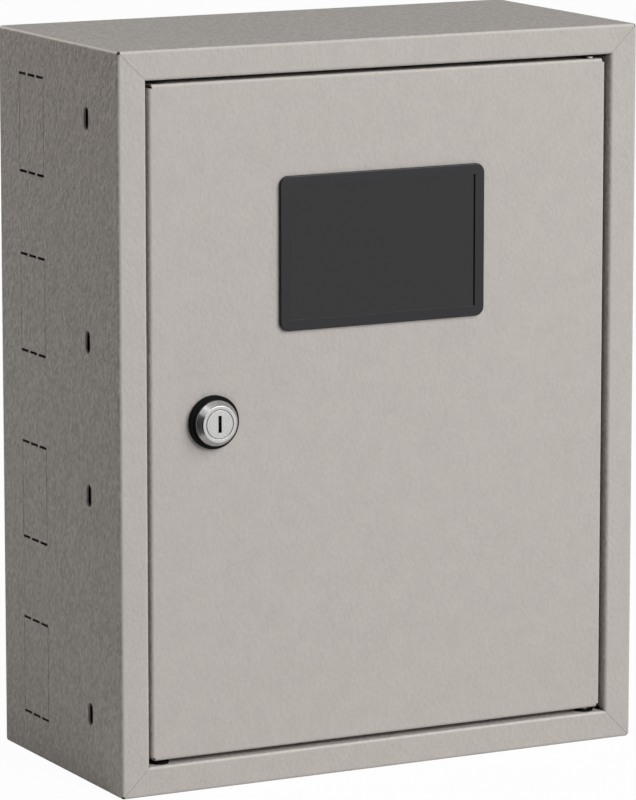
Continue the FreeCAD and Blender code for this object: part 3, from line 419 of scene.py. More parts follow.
@dataclass(frozen=True)
class MouldedPlastic(Grained):
    """Moulded plastic with a little bloom and a fine spark-eroded grain."""

    grain_gloss: float = 0.15


@dataclass(frozen=True)
class SmokedPane(Grained):
    """Polished smoked sheet, too dark to see through, with the slow waves of extrusion."""

    cloud_size: float = 0.03
    cloud_dark: float = 0.9
    cloud_light: float = 1.1
    cloud_gloss: float = 0.04
    grain_size: float = 0.05
    grain_detail: float = 0.0
    grain_depth: float = 0.00003
    edge: float = 0.0


@dataclass(frozen=True)
class PlatedSteel(Grained):
    """Bright zinc plate with faint stains and fine scratches."""

    cloud_size: float = 0.006
    cloud_detail: float = 4.0
    cloud_dark: float = 0.82
    cloud_light: float = 1.1
    cloud_gloss: float = 0.15
    grain_size: float = 0.0012
    grain_draw: Triple = (1.0, 8.0, 1.0)
    grain_depth: float = 0.00001


@dataclass(frozen=True)
class DrawnBrass(Grained):
    """Brass bar with the long lines of the draw bench and a little tarnish."""

    cloud_size: float = 0.014
    cloud_detail: float = 4.0
    cloud_dark: float = 0.7
    cloud_light: float = 1.12
    cloud_gloss: float = 0.15
    grain_size: float = 0.0006
    grain_detail: float = 3.0
    grain_draw: Triple = (0.05, 1.0, 1.0)
    grain_gloss: float = 0.12
    grain_depth: float = 0.00001
    edge: float = 0.0003


@dataclass(frozen=True)
class FoamRubber(Finish):
    """Closed-cell black foam."""

    pore_size: float = 0.0008
    pore_depth: float = 0.0001
    pore_tone: float = 0.6
    skin_tone: float = 1.3

    def surface(self, graph: Graph, where: Signal) -> dict[str, object]:
        """Matt colour and open pores.

        Args:
            graph: Tree to build in.
            where: Object coordinates.

        Returns:
            Values or signals by socket name.
        """
        cells = {"Vector": where, "Scale": 1 / self.pore_size}
        pores = graph.node("ShaderNodeTexVoronoi", None, cells)
        return {
            "Base Color": self.shade(graph, pores, self.pore_tone, self.skin_tone),
            "Normal": graph.bump(pores, self.pore_depth),
        }


@dataclass(frozen=True)
class GalvanisedSheet(Finish):
    """Hot-dipped sheet with zinc crystals of uneven gloss."""

    spangle: float = 0.009
    spangle_gloss: float = 0.12
    dull_tone: float = 0.9
    bright_tone: float = 1.06
    frost_size: float = 0.0016
    frost_gloss: float = 0.15
    frost_depth: float = 0.00002
    edge: float = 0.0003

    def surface(self, graph: Graph, where: Signal) -> dict[str, object]:
        """Crystals that differ in tone and gloss.

        Args:
            graph: Tree to build in.
            where: Object coordinates.

        Returns:
            Values or signals by socket name.
        """
        cells = {"Vector": where, "Scale": 1 / self.spangle}
        crystals = graph.node("ShaderNodeTexVoronoi", None, cells, "Color")
        tone = graph.node("ShaderNodeSeparateColor", None, {"Color": crystals})
        frost = graph.noise(where, self.frost_size, 3.0)
        gloss = (tone - 0.5) * self.spangle_gloss + (frost - 0.5) * self.frost_gloss
        return {
            "Base Color": self.shade(graph, tone, self.dull_tone, self.bright_tone),
            "Roughness": self.roughness + gloss,
            "Normal": graph.bump(frost, self.frost_depth, self.edge),
        }


@dataclass(frozen=True)
class TurnedChrome(Finish):
    """Bright plated lock metal with turning rings about the lock's axis, and painted shade in its grooves and
    recesses.
    """

    axis: Triple = (0.0, 0.0, 0.0)
    ring: float = 0.00035
    ring_gloss: float = 0.2
    ring_depth: float = 0.000012
    bloom_size: float = 0.004
    dull_tone: float = 0.9
    bright_tone: float = 1.06
    # Painted shade in the grooves and recesses: how far it reaches and how dark it is
    painted_shade_reach: float = 0.002
    painted_shade_tone: float = 0.02
    edge: float = 0.00015

    def surface(self, graph: Graph, where: Signal) -> dict[str, object]:
        """Fine rings about the axis, a soft bloom and painted shade in recesses.

        Args:
            graph: Tree to build in.
            where: Object coordinates.

        Returns:
            Values or signals by socket name.
        """
        centred = {0: where, 1: self.axis}
        offset = graph.node("ShaderNodeVectorMath", {"operation": "SUBTRACT"}, centred)
        across, _, up = graph.split(offset)
        radius = (across * across + up * up) ** 0.5
        along = {"W": radius, "Scale": 1 / self.ring}
        rings = graph.node("ShaderNodeTexNoise", {"noise_dimensions": "1D"}, along)
        bloom = graph.noise(where, self.bloom_size, 3.0)
        plate = self.shade(graph, bloom, self.dull_tone, self.bright_tone)
        # Painted shade: the plate darkened in grooves and recesses
        painted_shade = toned(self.colour, self.painted_shade_tone)
        return {
            "Base Color": graph.mix(graph.painted_shade_mask(self.painted_shade_reach), painted_shade, plate),
            "Roughness": self.roughness + (rings - 0.5) * self.ring_gloss,
            "Normal": graph.bump(rings, self.ring_depth, self.edge),
        }


class Finishes:
    """Every finish of the box, by the record's material slot of a solid."""

    def __init__(self) -> None:
        """Chooses colours, in linear light, and makes the materials."""
        lock = next(joint for joint in frame["joints"] if joint["name"] == "lock_turn")
        axis = tuple(lock["pos_m"])
        chosen = {
            "powder_coat": PowderCoat(
                "textured_grey_coat", (0.485, 0.452, 0.427), 0.55, specular=0.04
            ),
            "black_nylon": MouldedPlastic(
                "black_nylon", (0.002, 0.002, 0.002), 0.55, specular=0.08
            ),
            "dark_rim": MouldedPlastic("dark_rim", (0.006, 0.006, 0.008), 0.36, specular=0.32),
            "smoked_pane": SmokedPane("smoked_pane", (0.005, 0.005, 0.005), 0.06),
            "seal_rubber": FoamRubber("seal_rubber", (0.015, 0.015, 0.015), 0.85, specular=0.2),
            "lock_chrome": TurnedChrome("lock_chrome", (0.5, 0.495, 0.49), 0.28, 1.0, axis=axis),
            "zinc_steel": PlatedSteel("zinc_plate", (0.62, 0.63, 0.65), 0.24, 1.0),
            "galvanised_plate": GalvanisedSheet("galvanised_sheet", (0.55, 0.57, 0.58), 0.38, 1.0),
            "bar_brass": DrawnBrass("drawn_brass", (0.72, 0.51, 0.21), 0.26, 1.0),
            "foot_plastic": MouldedPlastic("foot_plastic", (0.05, 0.05, 0.052), 0.5),
        }
        self.materials = {slot: finish.material() for slot, finish in chosen.items()}
        self.slots = {part["node"]: part["material_slot"] for part in frame["record"]["subparts"]}

    def dress(self, piece: Piece, node: str) -> str:
        """Gives a piece the finish of a solid.

        Args:
            piece: The solid itself, or a piece that stands for it.
            node: Name of the solid.

        Returns:
            The material slot.
        """
        slot = self.slots[node]
        piece.data.materials.clear()
        piece.data.materials.append(self.materials[slot])
        return slot


@dataclass(frozen=True)
class Screw:
    """Sizes of a slotted screw, and of the level row in which it is repeated.

    A stem of 0 stands for what the head leaves of the solid's depth.
    """

    head: float
    height: float
    thread: float
    count: int
    step: float
    stem: float = 0.0
    slot: float = 0.001


class Workbench:
    """Models pieces upright about the origin with Blender's operators, then puts them in place."""

    EDGE_ANGLE = math.radians(32)
    MERGE_REACH = 1e-6
    CUT_REACH = 1e-7
    START_SIZE = 0.001
    # Thread: its form as crest or root and height in a turn, shares of the pitch, counts of turns
    THREAD_FORM = ((False, 0.0), (True, 0.38), (True, 0.5), (False, 0.88), (False, 1.0))
    THREAD_DEPTH = 0.6
    THREAD_CHAMFER = 1.6
    THREAD_LEAD = 2.0
    THREAD_SPARE = 3
    ROUND_SIDES = 40
    # Hexagon: its turned face and its countersink as shares of the width across the flats
    HEX_ANGLE = math.radians(30)
    HEX_FACE = 0.47
    HEX_SINK = 0.05
    HEX_CLEAR = 1.02
    # Screw: its domed head as shares of radius and height, and its pitch as a share of the thread
    DOME = (
        (0.0, 0.0), (0.94, 0.0), (1.0, 0.1), (1.0, 0.5),
        (0.92, 0.76), (0.72, 0.93), (0.4, 1.0), (0.0, 1.0),
    )
    SCREW_PITCH = 0.17
    SCREW_ROOT = 0.1

    def only(self, *pieces: Piece) -> None:
        """Selects these pieces alone; the first is active.

        Args:
            pieces: Pieces to select, or none.
        """
        bpy.ops.object.select_all(action="DESELECT")
        for piece in pieces:
            piece.select_set(True)
        bpy.context.view_layer.objects.active = pieces[0] if pieces else None

    def started(self, name: str) -> Piece:
        """Names the primitive that was just added, with its place and turn in its mesh.

        Args:
            name: Name of the piece.

        Returns:
            The started piece.
        """
        bpy.ops.object.transform_apply(location=True, rotation=True, scale=True)
        made = bpy.context.object
        made.name = name
        return made

    def apply(self, piece: Piece) -> None:
        """Applies every modifier of a piece.

        Args:
            piece: Piece to change.
        """
        self.only(piece)
        for change in list(piece.modifiers):
            bpy.ops.object.modifier_apply(modifier=change.name)

    def close(self, piece: Piece) -> None:
        """Merges doubled points and turns all faces outwards.

        Args:
            piece: Piece to change.
        """
        self.only(piece)
        bpy.ops.object.mode_set(mode="EDIT")
        bpy.ops.mesh.select_all(action="SELECT")
        bpy.ops.mesh.remove_doubles(threshold=self.MERGE_REACH)
        bpy.ops.mesh.normals_make_consistent(inside=False)
        bpy.ops.object.mode_set(mode="OBJECT")

    def trace(self, name: str, points: Profile) -> Piece:
        """Draws a line by extruding one vertex from point to point.

        Args:
            name: Name of the piece.
            points: Radius and height of each point.

        Returns:
            The line.
        """
        self.only()
        bpy.ops.mesh.primitive_plane_add(size=self.START_SIZE)
        made = self.started(name)
        bpy.ops.object.mode_set(mode="EDIT")
        bpy.ops.mesh.select_all(action="SELECT")
        bpy.ops.mesh.merge(type="CENTER")
        bpy.ops.transform.translate(value=(points[0][0], 0.0, points[0][1]))
        for (radius, height), (next_radius, next_height) in itertools.pairwise(points):
            step = (next_radius - radius, 0.0, next_height - height)
            bpy.ops.mesh.extrude_vertices_move(TRANSFORM_OT_translate={"value": step})
        bpy.ops.object.mode_set(mode="OBJECT")
        return made

    def turned(
        self, name: str, points: Profile, sides: int = 64, pitch: float = 0.0, turns: int = 1
    ) -> Piece:
        """Sweeps a profile about the upright axis.

        Args:
            name: Name of the piece.
            points: Radius and height of each point of the profile.
            sides: Steps of one turn.
            pitch: Rise of one turn, for a thread.
            turns: Number of turns.

        Returns:
            The turned piece.
        """
        made = self.trace(name, points)
        sweep = made.modifiers.new("sweep", "SCREW")
        sweep.steps = sweep.render_steps = sides
        sweep.screw_offset = pitch
        sweep.iterations = turns
        self.apply(made)
        self.close(made)
        return made

    def soften(self, piece: Piece, width: float, segments: int = 2) -> None:
        """Breaks the sharp edges of a piece.

        Args:
            piece: Piece to change.
            width: Width of the broken edge.
            segments: Steps across it.
        """
        bevel = piece.modifiers.new("broken_edges", "BEVEL")
        bevel.width = width
        bevel.segments = segments
        bevel.limit_method = "ANGLE"
        bevel.angle_limit = self.EDGE_ANGLE
        self.apply(piece)

    def cut(self, piece: Piece, tool: Piece, keep: Keep) -> None:
        """Cuts a piece with another one, which is used up.

        Args:
            piece: Piece to change.
            tool: Piece that cuts it.
            keep: What stays.
        """
        change = piece.modifiers.new("cut", "BOOLEAN")
        change.object = tool
        change.operation = keep.value
        self.apply(piece)
        bpy.data.meshes.remove(tool.data)

    def bar(self, name: str, size: Triple, middle: float) -> Piece:
        """Upright bar of a given size, whose middle is at a height.

        Args:
            name: Name of the piece.
            size: Width, depth and height.
            middle: Height of its middle.

        Returns:
            The bar.
        """
        self.only()
        bpy.ops.mesh.primitive_cube_add(size=1.0, location=(0.0, 0.0, middle), scale=size)
        return self.started(name)

    def rod(self, name: str, radius: float, pitch: float, low: float, high: float) -> Piece:
        """Threaded rod with chamfered ends.

        Args:
            name: Name of the piece.
            radius: Radius over the crests.
            pitch: Rise of one turn.
            low: Height of the lower end.
            high: Height of the upper end.

        Returns:
            The closed rod.
        """
        root = radius - self.THREAD_DEPTH * pitch
        points = [
            (radius if crest else root, low + (rise - self.THREAD_LEAD) * pitch)
            for crest, rise in self.THREAD_FORM
        ]
        turns = math.ceil((high - low) / pitch) + self.THREAD_SPARE
        made = self.turned(name, points, self.ROUND_SIDES, pitch, turns)
        bpy.ops.object.mode_set(mode="EDIT")
        for height, way in ((low, -1.0), (high, 1.0)):
            bpy.ops.mesh.select_all(action="SELECT")
            bpy.ops.mesh.bisect(
                plane_co=(0.0, 0.0, height),
                plane_no=(0.0, 0.0, way),
                use_fill=True,
                clear_outer=True,
                threshold=self.CUT_REACH,
            )
        bpy.ops.object.mode_set(mode="OBJECT")
        self.close(made)
        wide, chamfer = radius + pitch, self.THREAD_CHAMFER * pitch
        ends = [(root, low), (wide, low + chamfer), (wide, high - chamfer), (root, high)]
        blank = [(0.0, low), *ends, (0.0, high)]
        self.cut(made, self.turned("blank", blank), Keep.INSIDE)
        return made

    def hexagon(self, name: str, across: float, height: float, bore: float = 0.0) -> Piece:
        """Six-sided nut or bolt head with turned corners.

        Args:
            name: Name of the piece.
            across: Width across the flats.
            height: Height of the piece.
            bore: Radius of its countersunk hole, or 0.

        Returns:
            The piece, seated at the origin.
        """
        corner, face = across / math.sqrt(3.0), self.HEX_FACE * across
        rise = (corner - face) * math.tan(self.HEX_ANGLE)
        self.only()
        bpy.ops.mesh.primitive_cylinder_add(
            vertices=6,
            radius=corner,
            depth=height,
            location=(0.0, 0.0, height / 2),
            rotation=(0.0, 0.0, self.HEX_ANGLE),
        )
        made = self.started(name)
        wide = self.HEX_CLEAR * corner
        rim = [(face, 0.0), (wide, rise), (wide, height - rise), (face, height)]
        blank = [(0.0, 0.0), *rim, (0.0, height)]
        self.cut(made, self.turned("blank", blank), Keep.INSIDE)
        if bore:
            sink = self.HEX_SINK * across
            drill = [
                (0.0, -sink),
                (bore + 2 * sink, -sink),
                (bore, sink),
                (bore, height - sink),
                (bore + 2 * sink, height + sink),
                (0.0, height + sink),
            ]
            self.cut(made, self.turned("drill", drill), Keep.OUTSIDE)
        return made

    def screw(self, size: Screw, stem: float) -> Piece:
        """Slotted screw with a domed head.

        Args:
            size: Sizes of the screw.
            stem: Length of the thread below the seat.

        Returns:
            The screw, head up, with its seat at the origin.
        """
        dome = [(across * size.head / 2, rise * size.height) for across, rise in self.DOME]
        made = self.turned("screw", dome, self.ROUND_SIDES)
        slot = self.bar("slot", (size.slot, 2 * size.head, size.height), size.height)
        self.cut(made, slot, Keep.OUTSIDE)
        pitch, root = self.SCREW_PITCH * size.thread, self.SCREW_ROOT * size.height
        return self.join(made, self.rod("stem", size.thread / 2, pitch, -stem, root))

    def join(self, *pieces: Piece) -> Piece:
        """Joins pieces into the first of them.

        Args:
            pieces: Pieces to join.

        Returns:
            The first piece.
        """
        self.only(*pieces)
        bpy.ops.object.join()
        return pieces[0]

    def settle(self, piece: Piece, turn: Turn, places: list[Vector]) -> Piece:
        """Puts a piece and its copies in their places, as one mesh.

        Args:
            piece: Piece modelled upright about the origin.
            turn: Way that its top points.
            places: Seat of each copy.

        Returns:
            The finished piece.
        """
        copies = [piece]
        for _ in places[1:]:
            copy = piece.copy()
            copy.data = piece.data.copy()
            bpy.context.scene.collection.objects.link(copy)
            copies.append(copy)
        for copy, place in zip(copies, places):
            copy.rotation_euler.x = turn.value
            copy.location = place
        self.only(*copies)
        bpy.ops.object.transform_apply(location=True, rotation=True, scale=True)
        made = self.join(*copies)
        bpy.ops.object.shade_smooth_by_angle(angle=self.EDGE_ANGLE)
        flat = made.modifiers.new("flat_faces", "WEIGHTED_NORMAL")
        flat.keep_sharp = True
        self.apply(made)
        return made


def seat(node: str, turn: Turn) -> Vector:
    """Middle of the face on which a solid that points a given way sits.

    Args:
        node: Name of the solid.
        turn: Way that it points.

    Returns:
        The place of its seat.
    """
    low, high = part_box(node)
    middle = (low + high) / 2
    middle.y = high.y if turn is Turn.FRONT else low.y
    return middle


def row(middle: Vector, count: int, step: float) -> list[Vector]:
    """Places along a level line, even about its middle."""
    ends = (count - 1) / 2
    return [middle + Vector(((number - ends) * step, 0.0, 0.0)) for number in range(count)]


def rectangle(middle: Vector, across: float, up: float) -> list[Vector]:
    """Places at the corners of an upright rectangle."""
    halves = itertools.product((-0.5, 0.5), repeat=2)
    return [middle + Vector((side * across, 0.0, end * up)) for side, end in halves]


@dataclass
class SubAssembly:
    """Pieces that belong together: solids of the frame, some with finer pieces in their place."""

    bench: Workbench
    finishes: Finishes
    solids: ClassVar[tuple[str, ...]] = ()

    def build(self) -> None:
        """Models the finer pieces."""

    def dress(self) -> None:
        """Gives each solid that shows its finish."""
        for node in self.solids:
            slot = self.finishes.dress(frame["nodes"][node], node)
            LOG.info("%s: solid in %s", node, slot)

    def replace(self, piece: Piece, node: str, body: Body) -> None:
        """Dresses a modelled piece and lets it stand for a solid.

        Args:
            piece: Finished piece.
            node: Solid that it stands for.
            body: Body that it rides on.
        """
        piece.name = f"{node}_finished"
        slot = self.finishes.dress(piece, node)
        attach(piece, body.value)
        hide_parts(node)
        LOG.info("%s: modelled in %s", node, slot)

    def fit_screws(self, node: str, size: Screw) -> None:
        """Models a slotted screw and repeats it along its row, in the case.

        Args:
            node: Solid that the screws stand for.
            size: Sizes of the screw and its row.
        """
        low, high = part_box(node)
        stem = size.stem or high.y - low.y - size.height
        middle = seat(node, Turn.FRONT) - Vector((0.0, stem, 0.0))
        places = row(middle, size.count, size.step)
        made = self.bench.settle(self.bench.screw(size, stem), Turn.FRONT, places)
        self.replace(made, node, Body.CASE)


@dataclass
class Case(SubAssembly):
    """Folded case with the bushes and plugs of its lip."""

    solids = (
        "enclosure_body",
        "upper_hinge_bush",
        "lower_hinge_bush",
        "upper_hole_plug",
        "lower_hole_plug",
    )


@dataclass
class Door(SubAssembly):
    """Door pan with its hinge pins and clips."""

    solids = ("door_panel", "upper_hinge_pin", "lower_hinge_pin", "hinge_pin_clips")


@dataclass
class Window(SubAssembly):
    """Smoked pane in its rim, with the seal behind it."""

    solids = ("window_bezel", "window_seal", "window_pane")


@dataclass
class CamLock(SubAssembly):
    """Cam lock: washer, coned barrel, key plug, nut and cam."""

    thread: float = 0.018
    pitch: float = 0.001
    flats: float = 0.016
    core: float = 0.0154
    plug: float = 0.0115
    plug_face: float = 0.0152
    plug_face_depth: float = 0.0022
    plug_float: float = 0.0001
    plug_edge: float = 0.00015
    fit: float = 0.00006
    face_gap: float = 0.0003
    head: float = 0.0243
    head_face: float = 0.0195
    head_rim: float = 0.0024
    head_height: float = 0.006
    head_edge: float = 0.00018
    washer: float = 0.0286
    washer_bore: float = 0.0182
    washer_height: float = 0.003
    washer_edge: float = 0.0005
    washer_steps: int = 3
    key: Triple = (0.0019, 0.0091, 0.009)
    tang: float = 0.008
    tang_edge: float = 0.0003
    cam_gauge: float = 0.0025
    teeth: int = 18
    tooth_steps: int = 4
    tooth_washer: float = 0.025
    tooth_washer_gauge: float = 0.0008
    tooth_twist: float = 0.00035
    tooth_notch: float = 0.84
    rim_share: float = 0.49
    nut_across: float = 0.024
    nut_height: float = 0.0045
    nut_thread: float = 0.4
    screw_across: float = 0.008
    screw_head: float = 0.0035
    screw_thread: float = 0.005
    screw_pitch: float = 0.0008
    sides: int = 96

    solids = ("lock_cam", "cam_washer")

    def build(self) -> None:
        """Models the lock from its washer to its cam screw."""
        made = {
            "lock_washer": (self._washer(), Body.DOOR),
            "lock_barrel": (self._barrel(), Body.DOOR),
            "lock_tooth_washer": (self._tooth_washer(), Body.DOOR),
            "lock_nut": (self._nut(), Body.DOOR),
            "lock_plug": (self._plug(), Body.LOCK),
            "cam_screw": (self._cam_screw(), Body.LOCK),
        }
        for node, (piece, body) in made.items():
            placed = self.bench.settle(piece, Turn.FRONT, [seat(node, Turn.FRONT)])
            self.replace(placed, node, body)

    def _ring(self, name: str, bore: float, rim: float, height: float) -> Piece:
        """Square-edged ring."""
        points = [(bore, 0.0), (rim, 0.0), (rim, height), (bore, height), (bore, 0.0)]
        return self.bench.turned(name, points, self.tooth_steps * self.teeth)

    def _washer(self) -> Piece:
        """Moulded washer with rounded edges.

        Returns:
            The washer, upright.
        """
        made = self._ring("washer", self.washer_bore / 2, self.washer / 2, self.washer_height)
        self.bench.soften(made, self.washer_edge, self.washer_steps)
        return made

    def _barrel(self) -> Piece:
        """Coned head on a threaded sleeve with two flats.

        Returns:
            The barrel, head up.
        """
        low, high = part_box("lock_barrel")
        length = high.y - low.y
        shoulder = length - self.head_height
        floor = length - self.plug_face_depth - self.plug_float
        bore = self.plug / 2 + self.fit
        face_bore = self.plug_face / 2 + self.face_gap
        points = [
            (bore, 0.0),
            (self.core / 2, 0.0),
            (self.core / 2, shoulder),
            (self.head / 2, shoulder),
            (self.head / 2, shoulder + self.head_rim),
            (self.head_face / 2, length),
            (face_bore, length),
            (face_bore, floor),
            (bore, floor),
            (bore, 0.0),
        ]
        made = self.bench.turned("head", points, self.sides)
        self.bench.soften(made, self.head_edge)
        sleeve = self.bench.rod("sleeve", self.thread / 2, self.pitch, 0.0, shoulder)
        flats = self.bench.bar("flats", (self.thread, self.flats, 2 * length), 0.0)
        self.bench.cut(sleeve, flats, Keep.INSIDE)
        inside = self.core / 2 - self.fit
        drill = [(0.0, -self.pitch), (inside, -self.pitch), (inside, length), (0.0, length)]
        self.bench.cut(sleeve, self.bench.turned("drill", drill), Keep.OUTSIDE)
        return self.bench.join(made, sleeve)

    def _plug(self) -> Piece:
        """Key plug with its slot, on the square tang of the cam.

        Returns:
            The plug, face up.
        """
        low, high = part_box("lock_plug")
        length = high.y - low.y
        shoulder = length - self.plug_face_depth
        points = [
            (0.0, self.cam_gauge),
            (self.plug / 2, self.cam_gauge),
            (self.plug / 2, shoulder),
            (self.plug_face / 2, shoulder),
            (self.plug_face / 2, length),
            (0.0, length),
        ]
        made = self.bench.turned("plug", points, self.sides)
        self.bench.soften(made, self.plug_edge)
        width, height, depth = self.key
        key_slot = self.bench.bar("key_slot", (width, height, 2 * depth), length)
        self.bench.cut(made, key_slot, Keep.OUTSIDE)
        tang = self.bench.bar("tang", (self.tang, self.tang, 2 * self.cam_gauge), self.cam_gauge)
        self.bench.soften(tang, self.tang_edge)
        return self.bench.join(made, tang)

    def _tooth_washer(self) -> Piece:
        """Ring whose outer teeth are notched apart and bent out of its plane.

        Returns:
            The toothed ring.
        """
        sheet = self.tooth_washer_gauge - self.tooth_twist
        made = self._ring("teeth", self.washer_bore / 2, self.tooth_washer / 2, sheet)
        self.bench.only(made)
        self._pick_rim(made, 0)
        notch = (self.tooth_notch, self.tooth_notch, 1.0)
        bpy.ops.transform.resize(value=notch, center_override=(0.0, 0.0, 0.0))
        self._pick_rim(made, 2)
        bpy.ops.transform.translate(value=(0.0, 0.0, self.tooth_twist))
        bpy.ops.object.mode_set(mode="OBJECT")
        return made

    def _pick_rim(self, piece: Piece, step: int) -> None:
        """Selects rim points by their step in each tooth, and stays in edit mode.

        Args:
            piece: Toothed ring.
            step: Step of the points, from 0 to 3.
        """
        bpy.ops.object.mode_set(mode="EDIT")
        bpy.ops.mesh.select_all(action="DESELECT")
        bpy.ops.object.mode_set(mode="OBJECT")
        for vertex in piece.data.vertices:
            steps = math.atan2(vertex.co.y, vertex.co.x) / math.tau * self.tooth_steps * self.teeth
            outer = vertex.co.xy.length > self.rim_share * self.tooth_washer
            vertex.select = outer and round(steps) % self.tooth_steps == step
        bpy.ops.object.mode_set(mode="EDIT")

    def _nut(self) -> Piece:
        """Flat hexagon nut."""
        bore = self.thread / 2 - self.nut_thread * self.pitch
        return self.bench.hexagon("nut", self.nut_across, self.nut_height, bore)

    def _cam_screw(self) -> Piece:
        """Hexagon screw that holds the cam.

        Returns:
            The screw, head down.
        """
        low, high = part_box("cam_screw")
        head = self.bench.hexagon("head", self.screw_across, self.screw_head)
        length, radius = high.y - low.y, self.screw_thread / 2
        stem = self.bench.rod("stem", radius, self.screw_pitch, self.screw_head / 2, length)
        return self.bench.join(head, stem)


@dataclass
class Fixing(SubAssembly):
    """Threaded stud with its nut, on one or more places."""

    stud: str = ""
    nut: str = ""
    body: Body = Body.CASE
    turn: Turn = Turn.FRONT
    thread: float = 0.006
    pitch: float = 0.001
    nut_across: float = 0.01
    nut_height: float = 0.005
    collar: float = 0.0
    collar_height: float = 0.0
    collar_edge: float = 0.0004
    collar_sides: int = 48
    overlap: float = 0.001
    nut_thread: float = 0.35
    across: float = 0.0
    up: float = 0.0

    def build(self) -> None:
        """Models one stud and one nut, and copies them to their places."""
        low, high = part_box(self.stud)
        base = max(self.collar_height - self.overlap, 0.0)
        stud = self.bench.rod("stud", self.thread / 2, self.pitch, base, high.y - low.y)
        if self.collar:
            half, top = self.collar / 2, self.collar_height
            points = [(0.0, 0.0), (half, 0.0), (half, top), (0.0, top)]
            collar = self.bench.turned("collar", points, self.collar_sides)
            self.bench.soften(collar, self.collar_edge)
            stud = self.bench.join(collar, stud)
        bore = self.thread / 2 - self.nut_thread * self.pitch
        nut = self.bench.hexagon("nut", self.nut_across, self.nut_height, bore)
        for node, piece in ((self.stud, stud), (self.nut, nut)):
            middle = seat(node, self.turn)
            places = rectangle(middle, self.across, self.up) if self.across else [middle]
            self.replace(self.bench.settle(piece, self.turn, places), node, self.body)


@dataclass
class MeterPlate(SubAssembly):
    """Plate behind the meter, with its rail."""

    rail_screw: Screw = Screw(head=0.009, height=0.003, thread=0.005, count=2, step=0.15)

    solids = ("meter_panel", "panel_washers", "din_rail", "earth_washer", "door_earth_washer")

    def build(self) -> None:
        """Models the screws of the rail."""
        self.fit_screws("din_rail_screws", self.rail_screw)


@dataclass
class TerminalBar(SubAssembly):
    """Brass terminal bar on two feet, with clamping screws and fixing screws."""

    kind: str = ""
    clamp: Screw = Screw(head=0.006, height=0.0025, thread=0.004, count=7, step=0.012, stem=0.0025)
    fixing: Screw = Screw(head=0.007, height=0.0025, thread=0.004, count=2, step=0.098)

    def build(self) -> None:
        """Models the clamping screws and the fixing screws."""
        self.fit_screws(f"{self.kind}_bar_screws", self.clamp)
        self.fit_screws(f"{self.kind}_fixing_screws", self.fixing)

    @property
    def solids(self) -> tuple[str, ...]:
        """The bar and its feet."""
        return (f"{self.kind}_bar", f"{self.kind}_bar_feet")


@dataclass(frozen=True)
class Lamp:
    """Square soft light that faces the box; level 1 shows a colour as it is written."""

    name: str
    way: Triple
    reach: float
    size: float
    level: float
    colour: Colour = WHITE

    def build(self) -> None:
        """Hangs the lamp."""
        lamp = bpy.data.lights.new(self.name, "AREA")
        lamp.size = self.size
        lamp.color = self.colour
        lamp.energy = self.level * (math.pi * self.reach) ** 2
        holder = bpy.data.objects.new(self.name, lamp)
        holder.location = Vector(self.way).normalized() * self.reach
        holder.rotation_euler = (-holder.location).to_track_quat("-Z", "Y").to_euler()
        holder.visible_camera = False
        bpy.context.scene.collection.objects.link(holder)


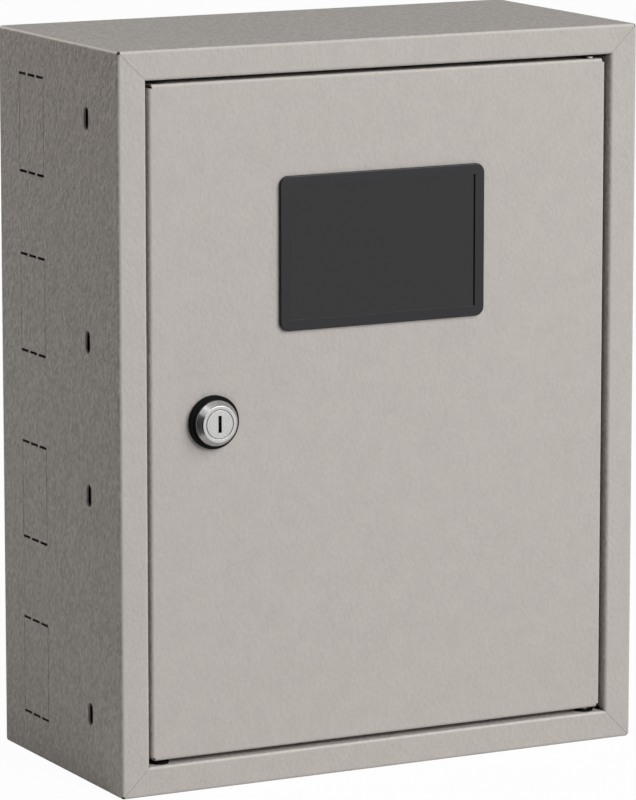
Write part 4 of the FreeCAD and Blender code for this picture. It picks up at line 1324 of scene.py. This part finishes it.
@dataclass
class Studio:
    """White floor, soft lamps, a dark card beside the box, and the camera of the photograph."""

    floor_level: float = CAD_BOX[0].z
    floor_size: float = 24.0
    floor_paint: Colour = (0.8, 0.8, 0.8)
    floor_glow: float = 0.97
    ambient: float = 0.08
    lamps: tuple[Lamp, ...] = (
        Lamp("key_light", (0.42, -0.80, 0.46), 4.5, 3.4, 1.0),
        Lamp("top_light", (-0.45, 0.05, 0.89), 3.2, 0.9, 0.06),
        Lamp("back_light", (-0.22, 0.96, 0.12), 3.2, 1.2, 0.26, (1.0, 0.86, 0.74)),
        Lamp("low_light", (-0.45, 0.08, -0.17), 0.488, 0.3, 0.08, (0.82, 0.96, 1.0)),
    )
    card_place: Triple = (-0.525, -0.15, 0.13)
    card_size: tuple[float, float] = (0.84, 1.1)
    card_lean: float = 49.5
    card_paint: Colour = (0.03, 0.03, 0.03)
    camera_place: Triple = (-1.28483, -2.54801, 0.48579)
    camera_turn: float = 27.4511
    camera_dip: float = 10.0497
    lens_mm: float = 233.44

    def build(self) -> None:
        """Sets up the studio."""
        self._world()
        self._floor()
        self._card()
        for lamp in self.lamps:
            lamp.build()
        self._camera()
        bpy.context.scene.view_settings.view_transform = "Standard"

    def _seen_white(self, graph: Graph) -> Signal:
        """1 for rays that show the background in the picture, in metal or through glass.

        Args:
            graph: Tree to build in.

        Returns:
            The mask of those rays.
        """
        kinds = ("Is Camera Ray", "Is Glossy Ray", "Is Transmission Ray")
        rays = [graph.node("ShaderNodeLightPath", output=kind) for kind in kinds]
        seen = {0: rays[0] + rays[1] + rays[2], 1: 1.0}
        return graph.node("ShaderNodeMath", {"operation": "MINIMUM"}, seen)

    def _world(self) -> None:
        """White to look at, and a weak even fill as light."""
        world = bpy.data.worlds.new("studio")
        world.use_nodes = True
        bpy.context.scene.world = world
        graph = Graph(world.node_tree)
        strength = self.ambient + self._seen_white(graph) * (1 - self.ambient)
        sockets = {"Color": opaque(WHITE), "Strength": strength}
        light = graph.node("ShaderNodeBackground", None, sockets)
        graph.node("ShaderNodeOutputWorld", None, {"Surface": light})

    def _plane(self, name: str, size: float, paint: Colour, glow: float) -> Piece:
        """Adds a stage plane that is painted, and shows white to the camera by a share.

        Args:
            name: Name of the plane.
            size: Length of its sides.
            paint: Its colour.
            glow: Share of white that the camera sees.

        Returns:
            The plane.
        """
        bpy.ops.object.select_all(action="DESELECT")
        bpy.ops.mesh.primitive_plane_add(size=size)
        plane = bpy.context.object
        plane.name = name
        made = bpy.data.materials.new(name)
        made.use_nodes = True
        graph = Graph(made.node_tree)
        surface = graph.node("ShaderNodeBsdfDiffuse", None, {"Color": opaque(paint)})
        if glow:
            white = graph.node("ShaderNodeEmission", None, {"Color": opaque(WHITE)})
            share = self._seen_white(graph) * glow
            surface = graph.node("ShaderNodeMixShader", None, {0: share, 1: surface, 2: white})
        graph.node("ShaderNodeOutputMaterial", None, {"Surface": surface})
        plane.data.materials.append(made)
        return plane

    def _floor(self) -> None:
        """White floor that keeps a faint shadow."""
        floor = self._plane("floor", self.floor_size, self.floor_paint, self.floor_glow)
        floor.location.z = self.floor_level

    def _card(self) -> None:
        """Dark card beside the box, which only shows in what the lock reflects."""
        card = self._plane("dark_card", 1.0, self.card_paint, 0.0)
        card.location = self.card_place
        card.rotation_euler.y = math.radians(self.card_lean)
        card.scale = (*self.card_size, 1.0)
        card.visible_camera = card.visible_diffuse = card.visible_shadow = False

    def _camera(self) -> None:
        """Adds the camera of the photograph."""
        lens = bpy.data.cameras.new("photo_camera")
        lens.lens = self.lens_mm
        holder = bpy.data.objects.new("photo_camera", lens)
        holder.location = self.camera_place
        tilt, turn = math.radians(90 - self.camera_dip), math.radians(-self.camera_turn)
        holder.rotation_euler = (tilt, 0.0, turn)
        bpy.context.scene.collection.objects.link(holder)
        bpy.context.scene.camera = holder


def main() -> None:
    """Models and dresses the box, part by part, and sets up the studio."""
    logging.basicConfig(level=logging.INFO, format="%(message)s")
    bench, finishes = Workbench(), Finishes()
    panel = {"collar": 0.012, "collar_height": 0.018, "across": 0.17, "up": 0.264}
    earth = {"thread": 0.008, "pitch": 0.00125, "nut_across": 0.013, "nut_height": 0.0065}
    door = {"body": Body.DOOR, "turn": Turn.BACK}
    parts = [
        Case(bench, finishes),
        Door(bench, finishes),
        Window(bench, finishes),
        CamLock(bench, finishes),
        MeterPlate(bench, finishes),
        Fixing(bench, finishes, "panel_studs", "panel_nuts", **panel),
        TerminalBar(bench, finishes, "neutral"),
        TerminalBar(bench, finishes, "earth"),
        Fixing(bench, finishes, "earth_stud", "earth_nut", **earth),
        Fixing(bench, finishes, "door_earth_stud", "door_earth_nut", **door),
    ]
    for part in parts:
        part.build()
        part.dress()
    Studio().build()


if __name__ == "__main__":
    main()
